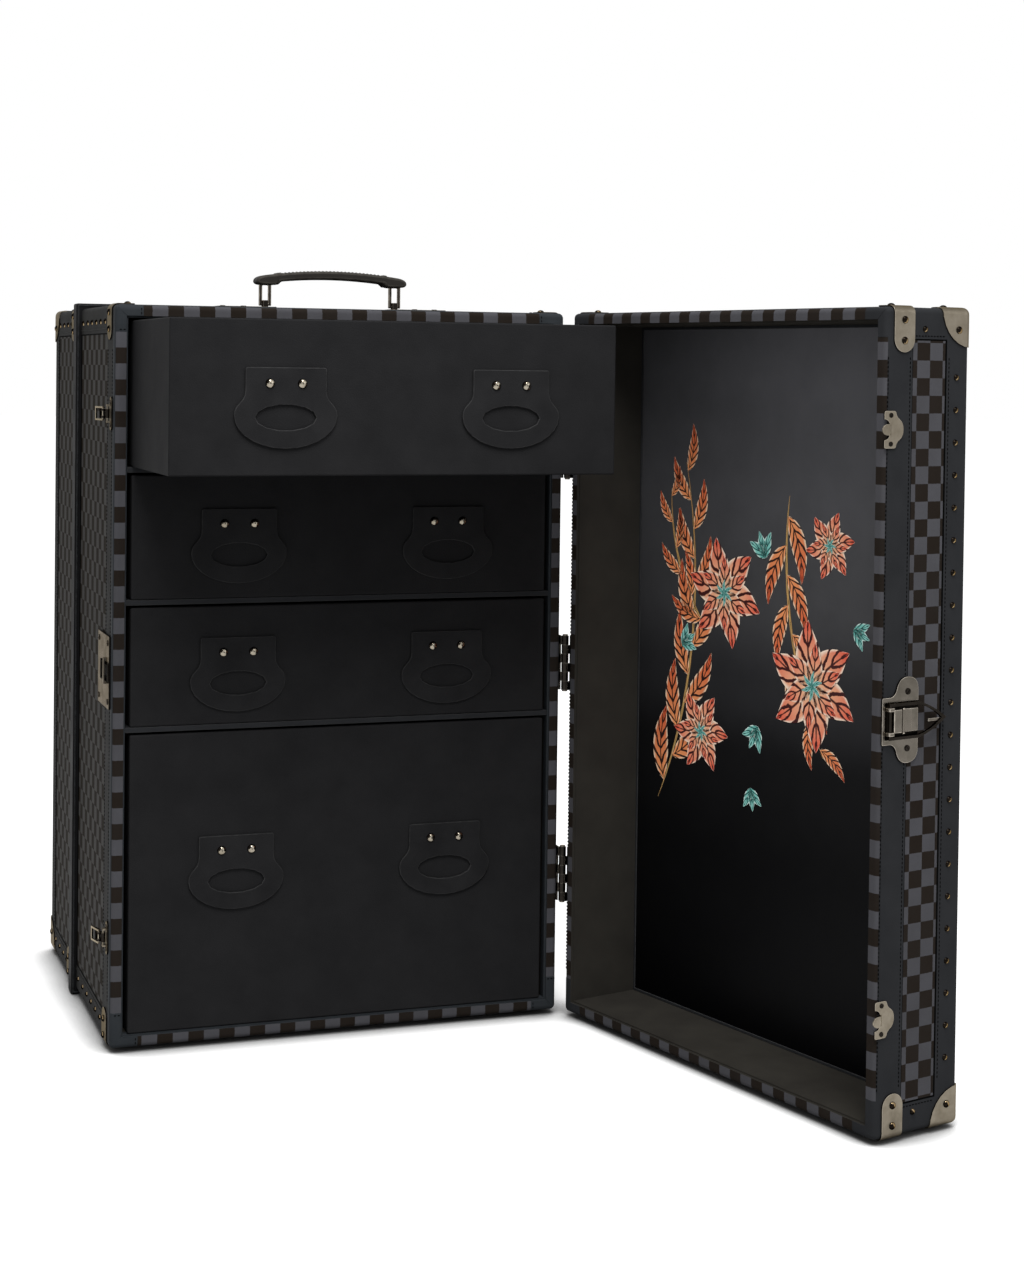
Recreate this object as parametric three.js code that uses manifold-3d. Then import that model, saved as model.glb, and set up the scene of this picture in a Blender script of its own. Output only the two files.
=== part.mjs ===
// Wardrobe trunk: a carcass with four drawers, a tray-shaped door on three hinges, a top handle,
// a bail lock and two draw catches. Millimetres, +X right, +Y from the front to the back, +Z up.
// The origin is the centre of the carcass's underside.
import * as THREE from 'three';
import { RoundedBoxGeometry } from 'three/addons/geometries/RoundedBoxGeometry.js';
import { mergeVertices } from 'three/addons/utils/BufferGeometryUtils.js';
import Module from 'manifold-3d';

const wasm = await Module();
wasm.setup();

// Overall sizes
const trunkWidth = 541;
const trunkHeight = 846;
const cabinetDepth = 252; // front face to the seam
const rearDepth = 228; // seam to the back
const doorDepth = 117;
const wall = 15; // covered board, and the width of the frame round the mouths
const edgeRadius = 6;
const touchGap = 0.3; // between pieces that rest on each other
const overrun = 20; // how far a cutting tool runs past what it cuts
const roundSegments = 3;
const rodSides = 20;

// Front frame and seam
const frameDepth = 14;
const lipWidth = 2; // step inside the frame's face
const lipDepth = 3;
const bandDepth = 25; // proud band behind the seam, along Y
const bandProud = 6.5;
const bandDrop = 5; // how far the band hangs below the underside
const bandRadius = 2.5;

// Joint line round the checkered field of the underside and of the rear's top
const fieldInset = 60; // from the outer edges
const fieldSeamInset = 4; // from the shell's edge at the seam
const fieldLineWidth = 1;
const fieldLineDepth = 0.6;

// Shelves and drawers, from the top one down; the lowest drawer takes the height that is left
const shelfThickness = 6;
const shelfSetback = 3;
const bayHeights = [169.5, 145, 139];
const drawerLift = 0.5; // clearance over the shelf that carries the drawer
const drawerHeadroom = 3;
const drawerSlack = 5.5; // at each side
const drawerDepth = 440;
const drawerRecess = 2;
const drawerFront = 10;
const drawerSide = 7;
const drawerFloor = 6;
const drawerRadius = 2;
const topDrawerOut = 219; // how far the top drawer is pulled out

// Leather pulls on the drawers
const pullOffset = 126; // from the middle of the drawer
const pullDrop = 11; // of the pull's middle below the drawer's middle
const deepPullRise = 8; // of the same above it, on the lowest drawer
const pullTopWidth = 88;
const pullWidth = 112;
const pullHeight = 86;
const pullNeck = 25; // straight sides below the top edge
const pullBelly = 51; // from the top edge to the widest place
const pullThickness = 3;
const pullCorner = 3;
const holeWidth = 66;
const holeHeight = 27.5;
const holeDrop = 53; // from the pull's top edge to the hole's middle

// Door
const doorGap = 2; // between the two mouths when shut
const doorHollow = 99;
const doorOpen = THREE.MathUtils.degToRad(104.6);
const panelThickness = 4;

// Hinges
const hingeOffset = 6; // axis outside the trunk's side
const hingeSpacing = 257; // from the middle hinge to the others
const leafHeight = 66;
const leafLength = 30;
const leafThickness = 2;
const leafStart = 3; // from the mouth to the leaf's flat
const knucklesPerHinge = 6;
const knuckleRadius = 4.3;
const knuckleGap = 0.4;
const pinRadius = 1.9;
const pinHeadRadius = 3.2;
const pinHeadHeight = 1.6;

// Corner caps
const capRadius = 40;
const capThickness = 1.2;
const capSphereSides = 28;

// Glides under the carcass
const glideRadius = 11;
const glideTipRadius = 8;
const glideHeight = 5.7;
const glideRim = 2.2;
const glideInset = 44; // from the sides, the front and the back

// Top handle
const handleBack = 81; // from the front face to the handle's middle
const linkOffset = 80; // from the middle of the trunk
const linkWidth = 15;
const linkBar = 3.4;
const linkLeg = 4;
const linkHeight = 26; // from the pivot to the top of the link
const eyeWidth = 6;
const eyeDepth = 10;
const eyeHeight = 10;
const eyeBore = 2.8;
const pivotRise = 5.4; // pivot above the top of the trunk
const padInner = 70;
const padOuter = 140;
const padWidth = 36;
const padThickness = 2;
const gripHalf = 95;
const gripRise = 46;
const gripThickness = 9.5;
const gripWidth = 24;
const gripBevel = 3;
const gripEndTop = 38;
const gripEndBottom = 23;
const gripEndLength = 24;
const gripShoulder = 6;

// Main lock
const lockRise = 4; // above the trunk's mid height
const lockPlate = 2;
const lockLength = 50; // along the door's depth
const lockHalfHeight = 24;
const lockEarRadius = 15;
const lockEarDeep = 35; // from the mouth to the ear's middle
const lockEarUp = 29;
const screwHole = 2.4;
const bailDeep = 8; // pivot, from the mouth
const bailOut = 5.6; // pivot, from the door's side
const bailBar = 1.6; // radius of the pivot bar
const bailStrip = 3; // section of the bail
const bailHalf = 18.5;
const bailKnee = 46; // from the mouth to where the arms turn in
const bailTip = 85;
const bailCurveShare = 0.75; // of the half width, where the arms curve in to the tip
const bailHeel = 2.4; // arm behind the pivot
const bailEarStart = 10.5;
const bailEarWidth = 4;
const bailEarDepth = 7;
const bailEarHeight = 8.6;
const keeperStart = 13;
const keeperLength = 11;
const keeperHalf = 12;
const keeperHeight = 6.3;
const stepHeight = 3.8;
const leverBarrel = 1.6;
const leverLength = 10.5;
const leverHalf = 11;
const leverPost = 2;
const leverClearance = 0.4;

// Strike plate on the cabinet's side
const strikeStart = 12;
const strikeLength = 76;
const strikeHalf = 41.5;
const strikeWindowStart = 20;
const strikeWindowLength = 34;
const strikeWindowHalf = 9;
const strikeBar = 6;
const strikeRise = 2.6;
const strikeHoleInset = 8;

// Draw catches
const catchSpacing = 299; // from the trunk's mid height
const catchPlate = 1.6;
const catchStart = 11; // behind the front face
const catchLength = 13;
const catchHalf = 11;
const catchEarRadius = 6;
const catchEarUp = 13;
const catchEarBack = 17;
const catchPivotBack = 20;
const catchPivotOut = 4.8;
const catchPostStart = 8.3;
const catchPost = 2.2;
const catchPostHalf = 2.8;
const catchRod = 1.1;
const catchBarrel = 2.5;
const catchLever = 1.8; // thickness
const catchNeckHalf = 5.4;
const catchNeckLength = 9.6;
const catchLeverHalf = 7;
const catchLeverLength = 22;
const catchWindowHalf = 2.6; // opening in the lever's neck
const catchWindowStart = 3.4;
const catchRest = THREE.MathUtils.degToRad(13); // lever's tilt off the side
const loopPivot = 6; // from the lever's pivot
const loopWire = 2;
const loopBar = 0.9;
const loopHalf = 7;
const loopLength = 21;
const bossRadius = 2.2;

// Hook plates on the door
const hookPlate = 1.6;
const hookOverhang = 3; // past the door's mouth
const hookLength = 13;
const hookHalf = 19;
const hookLobe = 14;
const hookLobeDeep = 9;
const hookHoleDeep = 6;
const hookHoleUp = 14.5;
const hookNotch = 10;
const tongueHalf = 5.5;
const tongueReach = 10; // past the door's mouth
const tongueRoot = 4;
const tongueStem = 3.5;
const tongueOut = 7.2;
const tongueThickness = 1.5;

// Places that follow
const halfWidth = trunkWidth / 2;
const frontY = -(cabinetDepth + rearDepth) / 2;
const seamY = frontY + cabinetDepth;
const backY = seamY + rearDepth;
const innerHalf = halfWidth - wall;
const innerTop = trunkHeight - wall;
const innerBack = backY - wall;
const mouthY = frontY - doorGap;
const hingeX = halfWidth + hingeOffset;
const hingeY = frontY - doorGap / 2;
const midHeight = trunkHeight / 2;
const lockHeight = midHeight + lockRise;
const hingeHeights = { upper: midHeight + hingeSpacing, middle: midHeight, lower: midHeight - hingeSpacing };
const catchHeights = { upper: midHeight + catchSpacing, lower: midHeight - catchSpacing };

// Materials, as they look in the light of the room
const look = (color, roughness, metalness) => new THREE.MeshStandardMaterial({ color, roughness, metalness });
const checker = look(0x37343a, 0.6, 0);
const leather = look(0x2d3032, 0.5, 0);
const lining = look(0x26272a, 0.7, 0);
const drawerLeather = look(0x262829, 0.55, 0);
const metal = look(0x8c8479, 0.3, 1);

// Solids
function solidOf(geometry) {
  const bare = geometry.clone();
  bare.deleteAttribute('normal');
  bare.deleteAttribute('uv');
  const merged = mergeVertices(bare);
  const vertProperties = new Float32Array(merged.attributes.position.array);
  const triVerts = new Uint32Array(merged.index.array);
  return new wasm.Manifold(new wasm.Mesh({ numProp: 3, vertProperties, triVerts }));
}

const at = (x, y, z) => new THREE.Vector3(x, y, z);

function block(a, b) {
  const box = new THREE.Box3().setFromPoints([a, b]);
  const size = box.getSize(at(0, 0, 0));
  const centre = box.getCenter(at(0, 0, 0));
  return solidOf(new THREE.BoxGeometry(size.x, size.y, size.z).translate(centre.x, centre.y, centre.z));
}

function roundedBlock(a, b, radius) {
  const box = new THREE.Box3().setFromPoints([a, b]);
  const size = box.getSize(at(0, 0, 0));
  const centre = box.getCenter(at(0, 0, 0));
  const geometry = new RoundedBoxGeometry(size.x, size.y, size.z, roundSegments, radius);
  return solidOf(geometry.translate(centre.x, centre.y, centre.z));
}

// A round rod between two points that lie along X, Y or Z
function rod(a, b, radius, sides = rodSides, endRadius = radius) {
  const along = b.clone().sub(a);
  const geometry = new THREE.CylinderGeometry(endRadius, radius, along.length(), sides);
  const turn = new THREE.Quaternion().setFromUnitVectors(at(0, 1, 0), along.clone().normalize());
  const centre = a.clone().add(b).multiplyScalar(0.5);
  return solidOf(geometry.applyQuaternion(turn).translate(centre.x, centre.y, centre.z));
}

const join = (first, ...rest) => rest.reduce((sum, solid) => sum.add(solid), first);
const cut = (first, ...rest) => rest.reduce((left, solid) => left.subtract(solid), first);

function meshOf(name, solid, material) {
  const { vertProperties, triVerts, numProp } = solid.getMesh();
  const positions = new Float32Array((vertProperties.length / numProp) * 3);
  for (let i = 0; i < positions.length / 3; i += 1) {
    for (let k = 0; k < 3; k += 1) positions[3 * i + k] = vertProperties[numProp * i + k];
  }
  const geometry = new THREE.BufferGeometry();
  geometry.setAttribute('position', new THREE.BufferAttribute(positions, 3));
  geometry.setIndex(new THREE.BufferAttribute(new Uint32Array(triVerts), 1));
  geometry.computeVertexNormals();
  const mesh = new THREE.Mesh(geometry, material);
  mesh.name = name;
  return mesh;
}

// The groups: the carcass, the shut door about its hinge axis, and what swings on either
const trunk = new THREE.Group();
const doorSwing = new THREE.Group();
doorSwing.position.set(hingeX, hingeY, 0);
doorSwing.rotation.z = doorOpen;
const door = new THREE.Group();
door.position.set(-hingeX, -hingeY, 0);
doorSwing.add(door);
trunk.add(doorSwing);

// Places on the left side of the carcass and of the shut door
const onCabinet = (back, up, out) => at(-halfWidth - out, frontY + back, up);
const onDoor = (deep, up, out) => at(-halfWidth - out, mouthY - deep, up);

// Carcass: one rounded envelope, sliced into frame, cabinet and rear shell, and bored out
const envelope = roundedBlock(at(-halfWidth, frontY, 0), at(halfWidth, backY, trunkHeight), edgeRadius);
const cavity = block(at(-innerHalf, frontY - overrun, wall), at(innerHalf, innerBack, innerTop));

function slice(fromY, toY) {
  const reach = halfWidth + overrun;
  return envelope.intersect(block(at(-reach, fromY, -overrun), at(reach, toY, trunkHeight + overrun)));
}

// A shallow groove round a rectangle on the flat underside or top at the height z
function fieldLine(fromY, toY, z) {
  const half = halfWidth - fieldInset;
  const plate = (edge, reach) => block(
    at(edge - half, fromY + edge, z - reach),
    at(half - edge, toY - edge, z + reach),
  );
  return cut(plate(0, fieldLineDepth), plate(fieldLineWidth, overrun));
}

function addCarcass() {
  const lip = block(
    at(-innerHalf - lipWidth, frontY - overrun, wall - lipWidth),
    at(innerHalf + lipWidth, frontY + lipDepth, innerTop + lipWidth),
  );
  const frameEnd = frontY + frameDepth;
  const bandStart = seamY + touchGap;
  const bandEnd = bandStart + bandDepth;
  const band = roundedBlock(
    at(-halfWidth - bandProud, bandStart, -bandDrop),
    at(halfWidth + bandProud, bandEnd, trunkHeight + bandProud),
    bandRadius,
  );
  trunk.add(meshOf('front_frame', cut(slice(frontY - overrun, frameEnd), cavity, lip), checker));
  const undersideLine = fieldLine(frontY + fieldInset, seamY - fieldSeamInset, 0);
  const topLine = fieldLine(bandEnd + fieldSeamInset, backY - fieldInset, trunkHeight);
  trunk.add(meshOf('cabinet_shell', cut(slice(frameEnd + touchGap, seamY), cavity, undersideLine), checker));
  trunk.add(meshOf('seam_band', cut(band, cavity), leather));
  trunk.add(meshOf('rear_shell', cut(slice(bandEnd + touchGap, backY + overrun), cavity, topLine), checker));
}

function addGlides() {
  const places = [[-1, -1], [1, -1], [-1, 1], [1, 1]];
  places.forEach(([sideX, sideY], index) => {
    const x = sideX * (halfWidth - glideInset);
    const y = sideY * (backY - glideInset);
    const rim = rod(at(x, y, -touchGap), at(x, y, -touchGap - glideRim), glideRadius);
    const tip = rod(at(x, y, -touchGap - glideRim), at(x, y, -glideHeight), glideRadius, rodSides, glideTipRadius);
    trunk.add(meshOf(`glide_${index + 1}`, join(rim, tip), metal));
  });
}

// A cap is the corner of a thin shell round a rounded box, cut out by a sphere about that corner
function cornerCap(low, high, corner) {
  const grow = (amount) => roundedBlock(
    low.clone().subScalar(amount),
    high.clone().addScalar(amount),
    edgeRadius + amount,
  );
  const ball = new THREE.SphereGeometry(capRadius, capSphereSides, capSphereSides / 2);
  const reach = solidOf(ball.translate(corner.x, corner.y, corner.z));
  return grow(touchGap + capThickness).subtract(grow(touchGap)).intersect(reach);
}

function addCaps(group, prefix, low, high, y) {
  for (const [side, x] of [['left', low.x], ['right', high.x]]) {
    for (const [level, z] of [['lower', low.z], ['upper', high.z]]) {
      group.add(meshOf(`${prefix}_${side}_${level}`, cornerCap(low, high, at(x, y, z)), metal));
    }
  }
}

// Shelves and drawers
function pullShape() {
  const top = pullHeight / 2;
  const shoulder = pullTopWidth / 2;
  const flare = (pullBelly - pullNeck) / 2;
  const neckZ = top - pullNeck;
  const bellyZ = top - pullBelly;
  const half = pullWidth / 2;
  const shape = new THREE.Shape();
  shape.moveTo(-shoulder + pullCorner, top);
  shape.lineTo(shoulder - pullCorner, top);
  shape.quadraticCurveTo(shoulder, top, shoulder, top - pullCorner);
  shape.lineTo(shoulder, neckZ);
  shape.bezierCurveTo(shoulder, neckZ - flare, half, bellyZ + flare, half, bellyZ);
  shape.absellipse(0, bellyZ, half, bellyZ + top, 0, -Math.PI, true);
  shape.bezierCurveTo(-half, bellyZ + flare, -shoulder, neckZ - flare, -shoulder, neckZ);
  shape.lineTo(-shoulder, top - pullCorner);
  shape.quadraticCurveTo(-shoulder, top, -shoulder + pullCorner, top);
  const hole = new THREE.Path();
  hole.absellipse(0, top - holeDrop, holeWidth / 2, holeHeight / 2, 0, 2 * Math.PI, false);
  shape.holes.push(hole);
  return shape;
}

// A shape drawn in X and Z and extruded towards the front from the plane Y = y
function frontPlate(shape, thickness, x, y, z) {
  const geometry = new THREE.ExtrudeGeometry(shape, { depth: thickness, bevelEnabled: false, curveSegments: 7 });
  return solidOf(geometry.rotateX(Math.PI / 2).translate(x, y, z));
}

function addDrawer(number, bottom, top, out, pullShift) {
  const group = new THREE.Group();
  group.position.y = -out;
  const half = innerHalf - drawerSlack;
  const faceY = frontY + drawerRecess;
  const rearY = faceY + drawerDepth;
  const outside = roundedBlock(at(-half, faceY, bottom), at(half, rearY, top), drawerRadius);
  const inside = block(
    at(-half + drawerSide, faceY + drawerFront, bottom + drawerFloor),
    at(half - drawerSide, rearY - drawerSide, top + overrun),
  );
  group.add(meshOf(`drawer_${number}`, cut(outside, inside), drawerLeather));
  const pullZ = (bottom + top) / 2 + pullShift;
  for (const [side, x] of [['left', -pullOffset], ['right', pullOffset]]) {
    const pull = frontPlate(pullShape(), pullThickness, x, faceY - touchGap, pullZ);
    group.add(meshOf(`pull_${number}_${side}`, pull, leather));
  }
  trunk.add(group);
}

function addDrawers() {
  let ceiling = innerTop;
  bayHeights.forEach((height, index) => {
    const shelfTop = ceiling - height;
    const low = at(-innerHalf + touchGap, frontY + shelfSetback, shelfTop - shelfThickness);
    const high = at(innerHalf - touchGap, innerBack - touchGap, shelfTop);
    trunk.add(meshOf(`shelf_${index + 1}`, block(low, high), leather));
    const out = index === 0 ? topDrawerOut : 0;
    addDrawer(index + 1, shelfTop + drawerLift, ceiling - drawerHeadroom, out, -pullDrop);
    ceiling = low.z;
  });
  addDrawer(bayHeights.length + 1, wall + drawerLift, ceiling - drawerHeadroom, 0, deepPullRise);
}

// Door: a tray, with a lining panel against its back
function addDoor() {
  const low = at(-halfWidth, mouthY - doorDepth, 0);
  const high = at(halfWidth, mouthY, trunkHeight);
  const hollow = block(
    at(-innerHalf, mouthY - doorHollow, wall),
    at(innerHalf, mouthY + overrun, innerTop),
  );
  const lip = block(
    at(-innerHalf - lipWidth, mouthY - lipDepth, wall - lipWidth),
    at(innerHalf + lipWidth, mouthY + overrun, innerTop + lipWidth),
  );
  const panelBack = mouthY - doorHollow + touchGap;
  const panel = block(
    at(-innerHalf + touchGap, panelBack, wall + touchGap),
    at(innerHalf - touchGap, panelBack + panelThickness, innerTop - touchGap),
  );
  door.add(meshOf('door_shell', cut(roundedBlock(low, high, edgeRadius), hollow, lip), checker));
  door.add(meshOf('door_panel', panel, lining));
  addCaps(door, 'door_cap', low, high, low.y);
}

// Hinges: the cabinet's leaf holds the upper knuckle of each pair, the door's leaf the lower one
function hingeLeaf(height, direction, firstKnuckle) {
  const bottom = height - leafHeight / 2;
  const inner = halfWidth + touchGap;
  const startY = hingeY + direction * (doorGap / 2 + leafStart);
  const parts = [block(
    at(inner, startY, bottom),
    at(inner + leafThickness, startY + direction * leafLength, bottom + leafHeight),
  )];
  const pitch = leafHeight / knucklesPerHinge;
  for (let k = firstKnuckle; k < knucklesPerHinge; k += 2) {
    const low = bottom + k * pitch + knuckleGap / 2;
    const high = bottom + (k + 1) * pitch - knuckleGap / 2;
    parts.push(rod(at(hingeX, hingeY, low), at(hingeX, hingeY, high), knuckleRadius));
    parts.push(block(at(inner, hingeY, low), at(inner + leafThickness, startY + direction, high)));
    parts.push(block(at(inner, hingeY, low), at(hingeX, hingeY + direction * leafThickness, high)));
  }
  const bore = rod(at(hingeX, hingeY, bottom - overrun), at(hingeX, hingeY, bottom + leafHeight + overrun),
    pinRadius + touchGap);
  return cut(join(...parts), bore);
}

function hingePin(height) {
  const bottom = height - leafHeight / 2;
  const top = height + leafHeight / 2;
  const low = at(hingeX, hingeY, bottom - pinHeadHeight);
  const high = at(hingeX, hingeY, top + pinHeadHeight);
  const parts = [
    rod(low, high, pinRadius),
    rod(low, at(hingeX, hingeY, bottom), pinHeadRadius),
    rod(at(hingeX, hingeY, top), high, pinHeadRadius),
  ];
  return join(...parts);
}

function addHinges() {
  for (const [level, height] of Object.entries(hingeHeights)) {
    trunk.add(meshOf(`hinge_leaf_cabinet_${level}`, hingeLeaf(height, 1, 1), metal));
    trunk.add(meshOf(`hinge_pin_${level}`, hingePin(height), metal));
    door.add(meshOf(`hinge_leaf_door_${level}`, hingeLeaf(height, -1, 0), metal));
  }
}

// Top handle: a pad with an eye at each end, a link that turns in the eye, and the grip on the links
function gripShape() {
  const shape = new THREE.Shape();
  const inner = gripHalf - gripEndLength;
  const underMiddle = gripRise - gripThickness;
  const underEnd = (gripEndBottom + underMiddle) / 2;
  shape.moveTo(-gripHalf + gripShoulder, gripEndTop);
  shape.quadraticCurveTo(0, 2 * gripRise - gripEndTop, gripHalf - gripShoulder, gripEndTop);
  shape.quadraticCurveTo(gripHalf, gripEndTop, gripHalf, gripEndTop - gripShoulder);
  shape.quadraticCurveTo(gripHalf, gripEndBottom, gripHalf - gripShoulder, gripEndBottom);
  shape.lineTo(inner + gripShoulder, gripEndBottom);
  shape.quadraticCurveTo(inner, gripEndBottom, inner, underEnd);
  shape.quadraticCurveTo(0, 2 * underMiddle - underEnd, -inner, underEnd);
  shape.quadraticCurveTo(-inner, gripEndBottom, -inner - gripShoulder, gripEndBottom);
  shape.lineTo(-gripHalf + gripShoulder, gripEndBottom);
  shape.quadraticCurveTo(-gripHalf, gripEndBottom, -gripHalf, gripEndTop - gripShoulder);
  shape.quadraticCurveTo(-gripHalf, gripEndTop, -gripHalf + gripShoulder, gripEndTop);
  return shape;
}

function addHandle() {
  const y = frontY + handleBack;
  const pivotZ = trunkHeight + pivotRise;
  const settings = {
    depth: gripWidth - 2 * gripBevel,
    bevelThickness: gripBevel,
    bevelSize: gripBevel,
    bevelOffset: -gripBevel,
    bevelSegments: 2,
    curveSegments: 8,
  };
  const gripGeometry = new THREE.ExtrudeGeometry(gripShape(), settings).rotateX(Math.PI / 2);
  let grip = solidOf(gripGeometry.translate(0, y + gripWidth / 2 - gripBevel, trunkHeight));
  for (const [side, sign] of [['left', -1], ['right', 1]]) {
    const x = sign * linkOffset;
    const linkCorner = (amount) => [
      at(x - linkWidth / 2 - amount, y - linkBar / 2 - amount, pivotZ - linkBar / 2 - amount),
      at(x + linkWidth / 2 + amount, y + linkBar / 2 + amount, pivotZ + linkHeight + amount),
    ];
    const window = block(
      at(x - linkWidth / 2 + linkLeg, y - overrun, pivotZ + linkBar / 2),
      at(x + linkWidth / 2 - linkLeg, y + overrun, pivotZ + linkHeight - linkBar),
    );
    trunk.add(meshOf(`handle_link_${side}`, cut(block(...linkCorner(0)), window), metal));
    grip = cut(grip, block(...linkCorner(touchGap)));
    const padBottom = trunkHeight + touchGap;
    const pad = block(
      at(sign * padInner, y - padWidth / 2, padBottom),
      at(sign * padOuter, y + padWidth / 2, padBottom + padThickness),
    );
    const eye = block(
      at(x - eyeWidth / 2, y - eyeDepth / 2, padBottom),
      at(x + eyeWidth / 2, y + eyeDepth / 2, padBottom + eyeHeight),
    );
    const bore = rod(at(x - overrun, y, pivotZ), at(x + overrun, y, pivotZ), eyeBore);
    trunk.add(meshOf(`handle_base_${side}`, cut(join(pad, eye), bore), metal));
  }
  trunk.add(meshOf('handle_grip', grip, leather));
}

// Main lock on the door's free side
function bailShape(inset, heel) {
  const half = bailHalf - inset;
  const lean = inset * (bailTip - bailKnee) / bailHalf;
  const shape = new THREE.Shape();
  shape.moveTo(heel, -half);
  shape.lineTo(bailKnee, -half);
  shape.quadraticCurveTo((bailKnee + bailTip) / 2, -half * bailCurveShare, bailTip - lean, 0);
  shape.quadraticCurveTo((bailKnee + bailTip) / 2, half * bailCurveShare, bailKnee, half);
  shape.lineTo(heel, half);
  shape.closePath();
  return shape;
}

// A shape drawn in depth and height on the door's left side, extruded outwards from the distance out
function sidePlate(shape, thickness, out, up) {
  const geometry = new THREE.ExtrudeGeometry(shape, { depth: thickness, bevelEnabled: false, curveSegments: 6 });
  const axes = new THREE.Matrix4().makeBasis(at(0, -1, 0), at(0, 0, 1), at(-1, 0, 0));
  const origin = onDoor(0, up, out);
  return solidOf(geometry.applyMatrix4(axes).translate(origin.x, origin.y, origin.z));
}

function addLock() {
  const z = lockHeight;
  const plateTop = touchGap + lockPlate;
  const keeperEnd = keeperStart + keeperLength;
  const plates = [block(onDoor(0, z - lockHalfHeight, touchGap), onDoor(lockLength, z + lockHalfHeight, plateTop))];
  const holes = [];
  for (const sign of [-1, 1]) {
    const ear = (out) => onDoor(lockEarDeep, z + sign * lockEarUp, out);
    plates.push(rod(ear(touchGap), ear(plateTop), lockEarRadius));
    plates.push(block(
      onDoor(lockLength - 2 * lockEarRadius, z, touchGap),
      onDoor(lockLength, z + sign * lockEarUp, plateTop),
    ));
    holes.push(rod(ear(-overrun), ear(overrun), screwHole));
    plates.push(block(
      onDoor(bailDeep - bailEarDepth / 2, z + sign * bailEarStart, touchGap),
      onDoor(bailDeep + bailEarDepth / 2, z + sign * (bailEarStart + bailEarWidth), bailEarHeight),
    ));
  }
  plates.push(block(onDoor(keeperStart, z - keeperHalf, touchGap), onDoor(keeperEnd, z + keeperHalf, keeperHeight)));
  plates.push(block(onDoor(keeperStart, z - keeperHalf, touchGap), onDoor(lockLength, z + keeperHalf, stepHeight)));
  const leverDeep = keeperEnd + leverClearance + leverBarrel;
  const leverOut = stepHeight + touchGap + leverBarrel;
  for (const sign of [-1, 1]) {
    const start = z + sign * (leverHalf + touchGap);
    plates.push(block(
      onDoor(leverDeep - leverBarrel, start, touchGap),
      onDoor(leverDeep + leverBarrel, start + sign * leverPost, leverOut + leverBarrel),
    ));
  }
  holes.push(rod(onDoor(bailDeep, z - lockHalfHeight, bailOut), onDoor(bailDeep, z + lockHalfHeight, bailOut),
    bailBar + touchGap));
  door.add(meshOf('lock_base', cut(join(...plates), ...holes), metal));

  const ringOut = bailOut - bailStrip / 2;
  const outer = sidePlate(bailShape(0, bailDeep - bailHeel), bailStrip, ringOut, z);
  const inner = sidePlate(bailShape(bailStrip, -overrun), bailStrip + 2 * overrun, ringOut - overrun, z);
  const barHalf = bailHalf - bailStrip / 2;
  const bar = rod(onDoor(bailDeep, z - barHalf, bailOut), onDoor(bailDeep, z + barHalf, bailOut), bailBar);
  door.add(meshOf('lock_bail', join(cut(outer, inner), bar), metal));

  const barrel = rod(onDoor(leverDeep, z - leverHalf, leverOut), onDoor(leverDeep, z + leverHalf, leverOut),
    leverBarrel);
  const tongue = block(
    onDoor(leverDeep, z - leverHalf, leverOut - leverBarrel / 2),
    onDoor(leverDeep + leverLength, z + leverHalf, leverOut + leverBarrel / 2),
  );
  door.add(meshOf('lock_lever', join(barrel, tongue), metal));
}

function addStrike() {
  const z = lockHeight;
  const top = touchGap + lockPlate;
  const end = strikeStart + strikeLength;
  const windowEnd = strikeWindowStart + strikeWindowLength;
  const barMiddle = (strikeWindowStart + windowEnd) / 2;
  const plate = block(onCabinet(strikeStart, z - strikeHalf, touchGap), onCabinet(end, z + strikeHalf, top));
  const window = block(
    onCabinet(strikeWindowStart, z - strikeWindowHalf, -overrun),
    onCabinet(windowEnd, z + strikeWindowHalf, overrun),
  );
  const bar = block(
    onCabinet(barMiddle - strikeBar / 2, z - strikeWindowHalf - strikeBar, touchGap),
    onCabinet(barMiddle + strikeBar / 2, z + strikeWindowHalf + strikeBar, top + strikeRise),
  );
  const under = block(
    onCabinet(barMiddle - strikeBar, z - strikeWindowHalf, -overrun),
    onCabinet(barMiddle + strikeBar, z + strikeWindowHalf, top),
  );
  const holes = [];
  for (const back of [strikeStart + strikeHoleInset, end - strikeHoleInset]) {
    for (const up of [z - strikeHalf + strikeHoleInset, z + strikeHalf - strikeHoleInset]) {
      holes.push(rod(onCabinet(back, up, -overrun), onCabinet(back, up, overrun), screwHole));
    }
  }
  trunk.add(meshOf('lock_strike', cut(join(cut(plate, window), cut(bar, under)), ...holes), metal));
}

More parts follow.
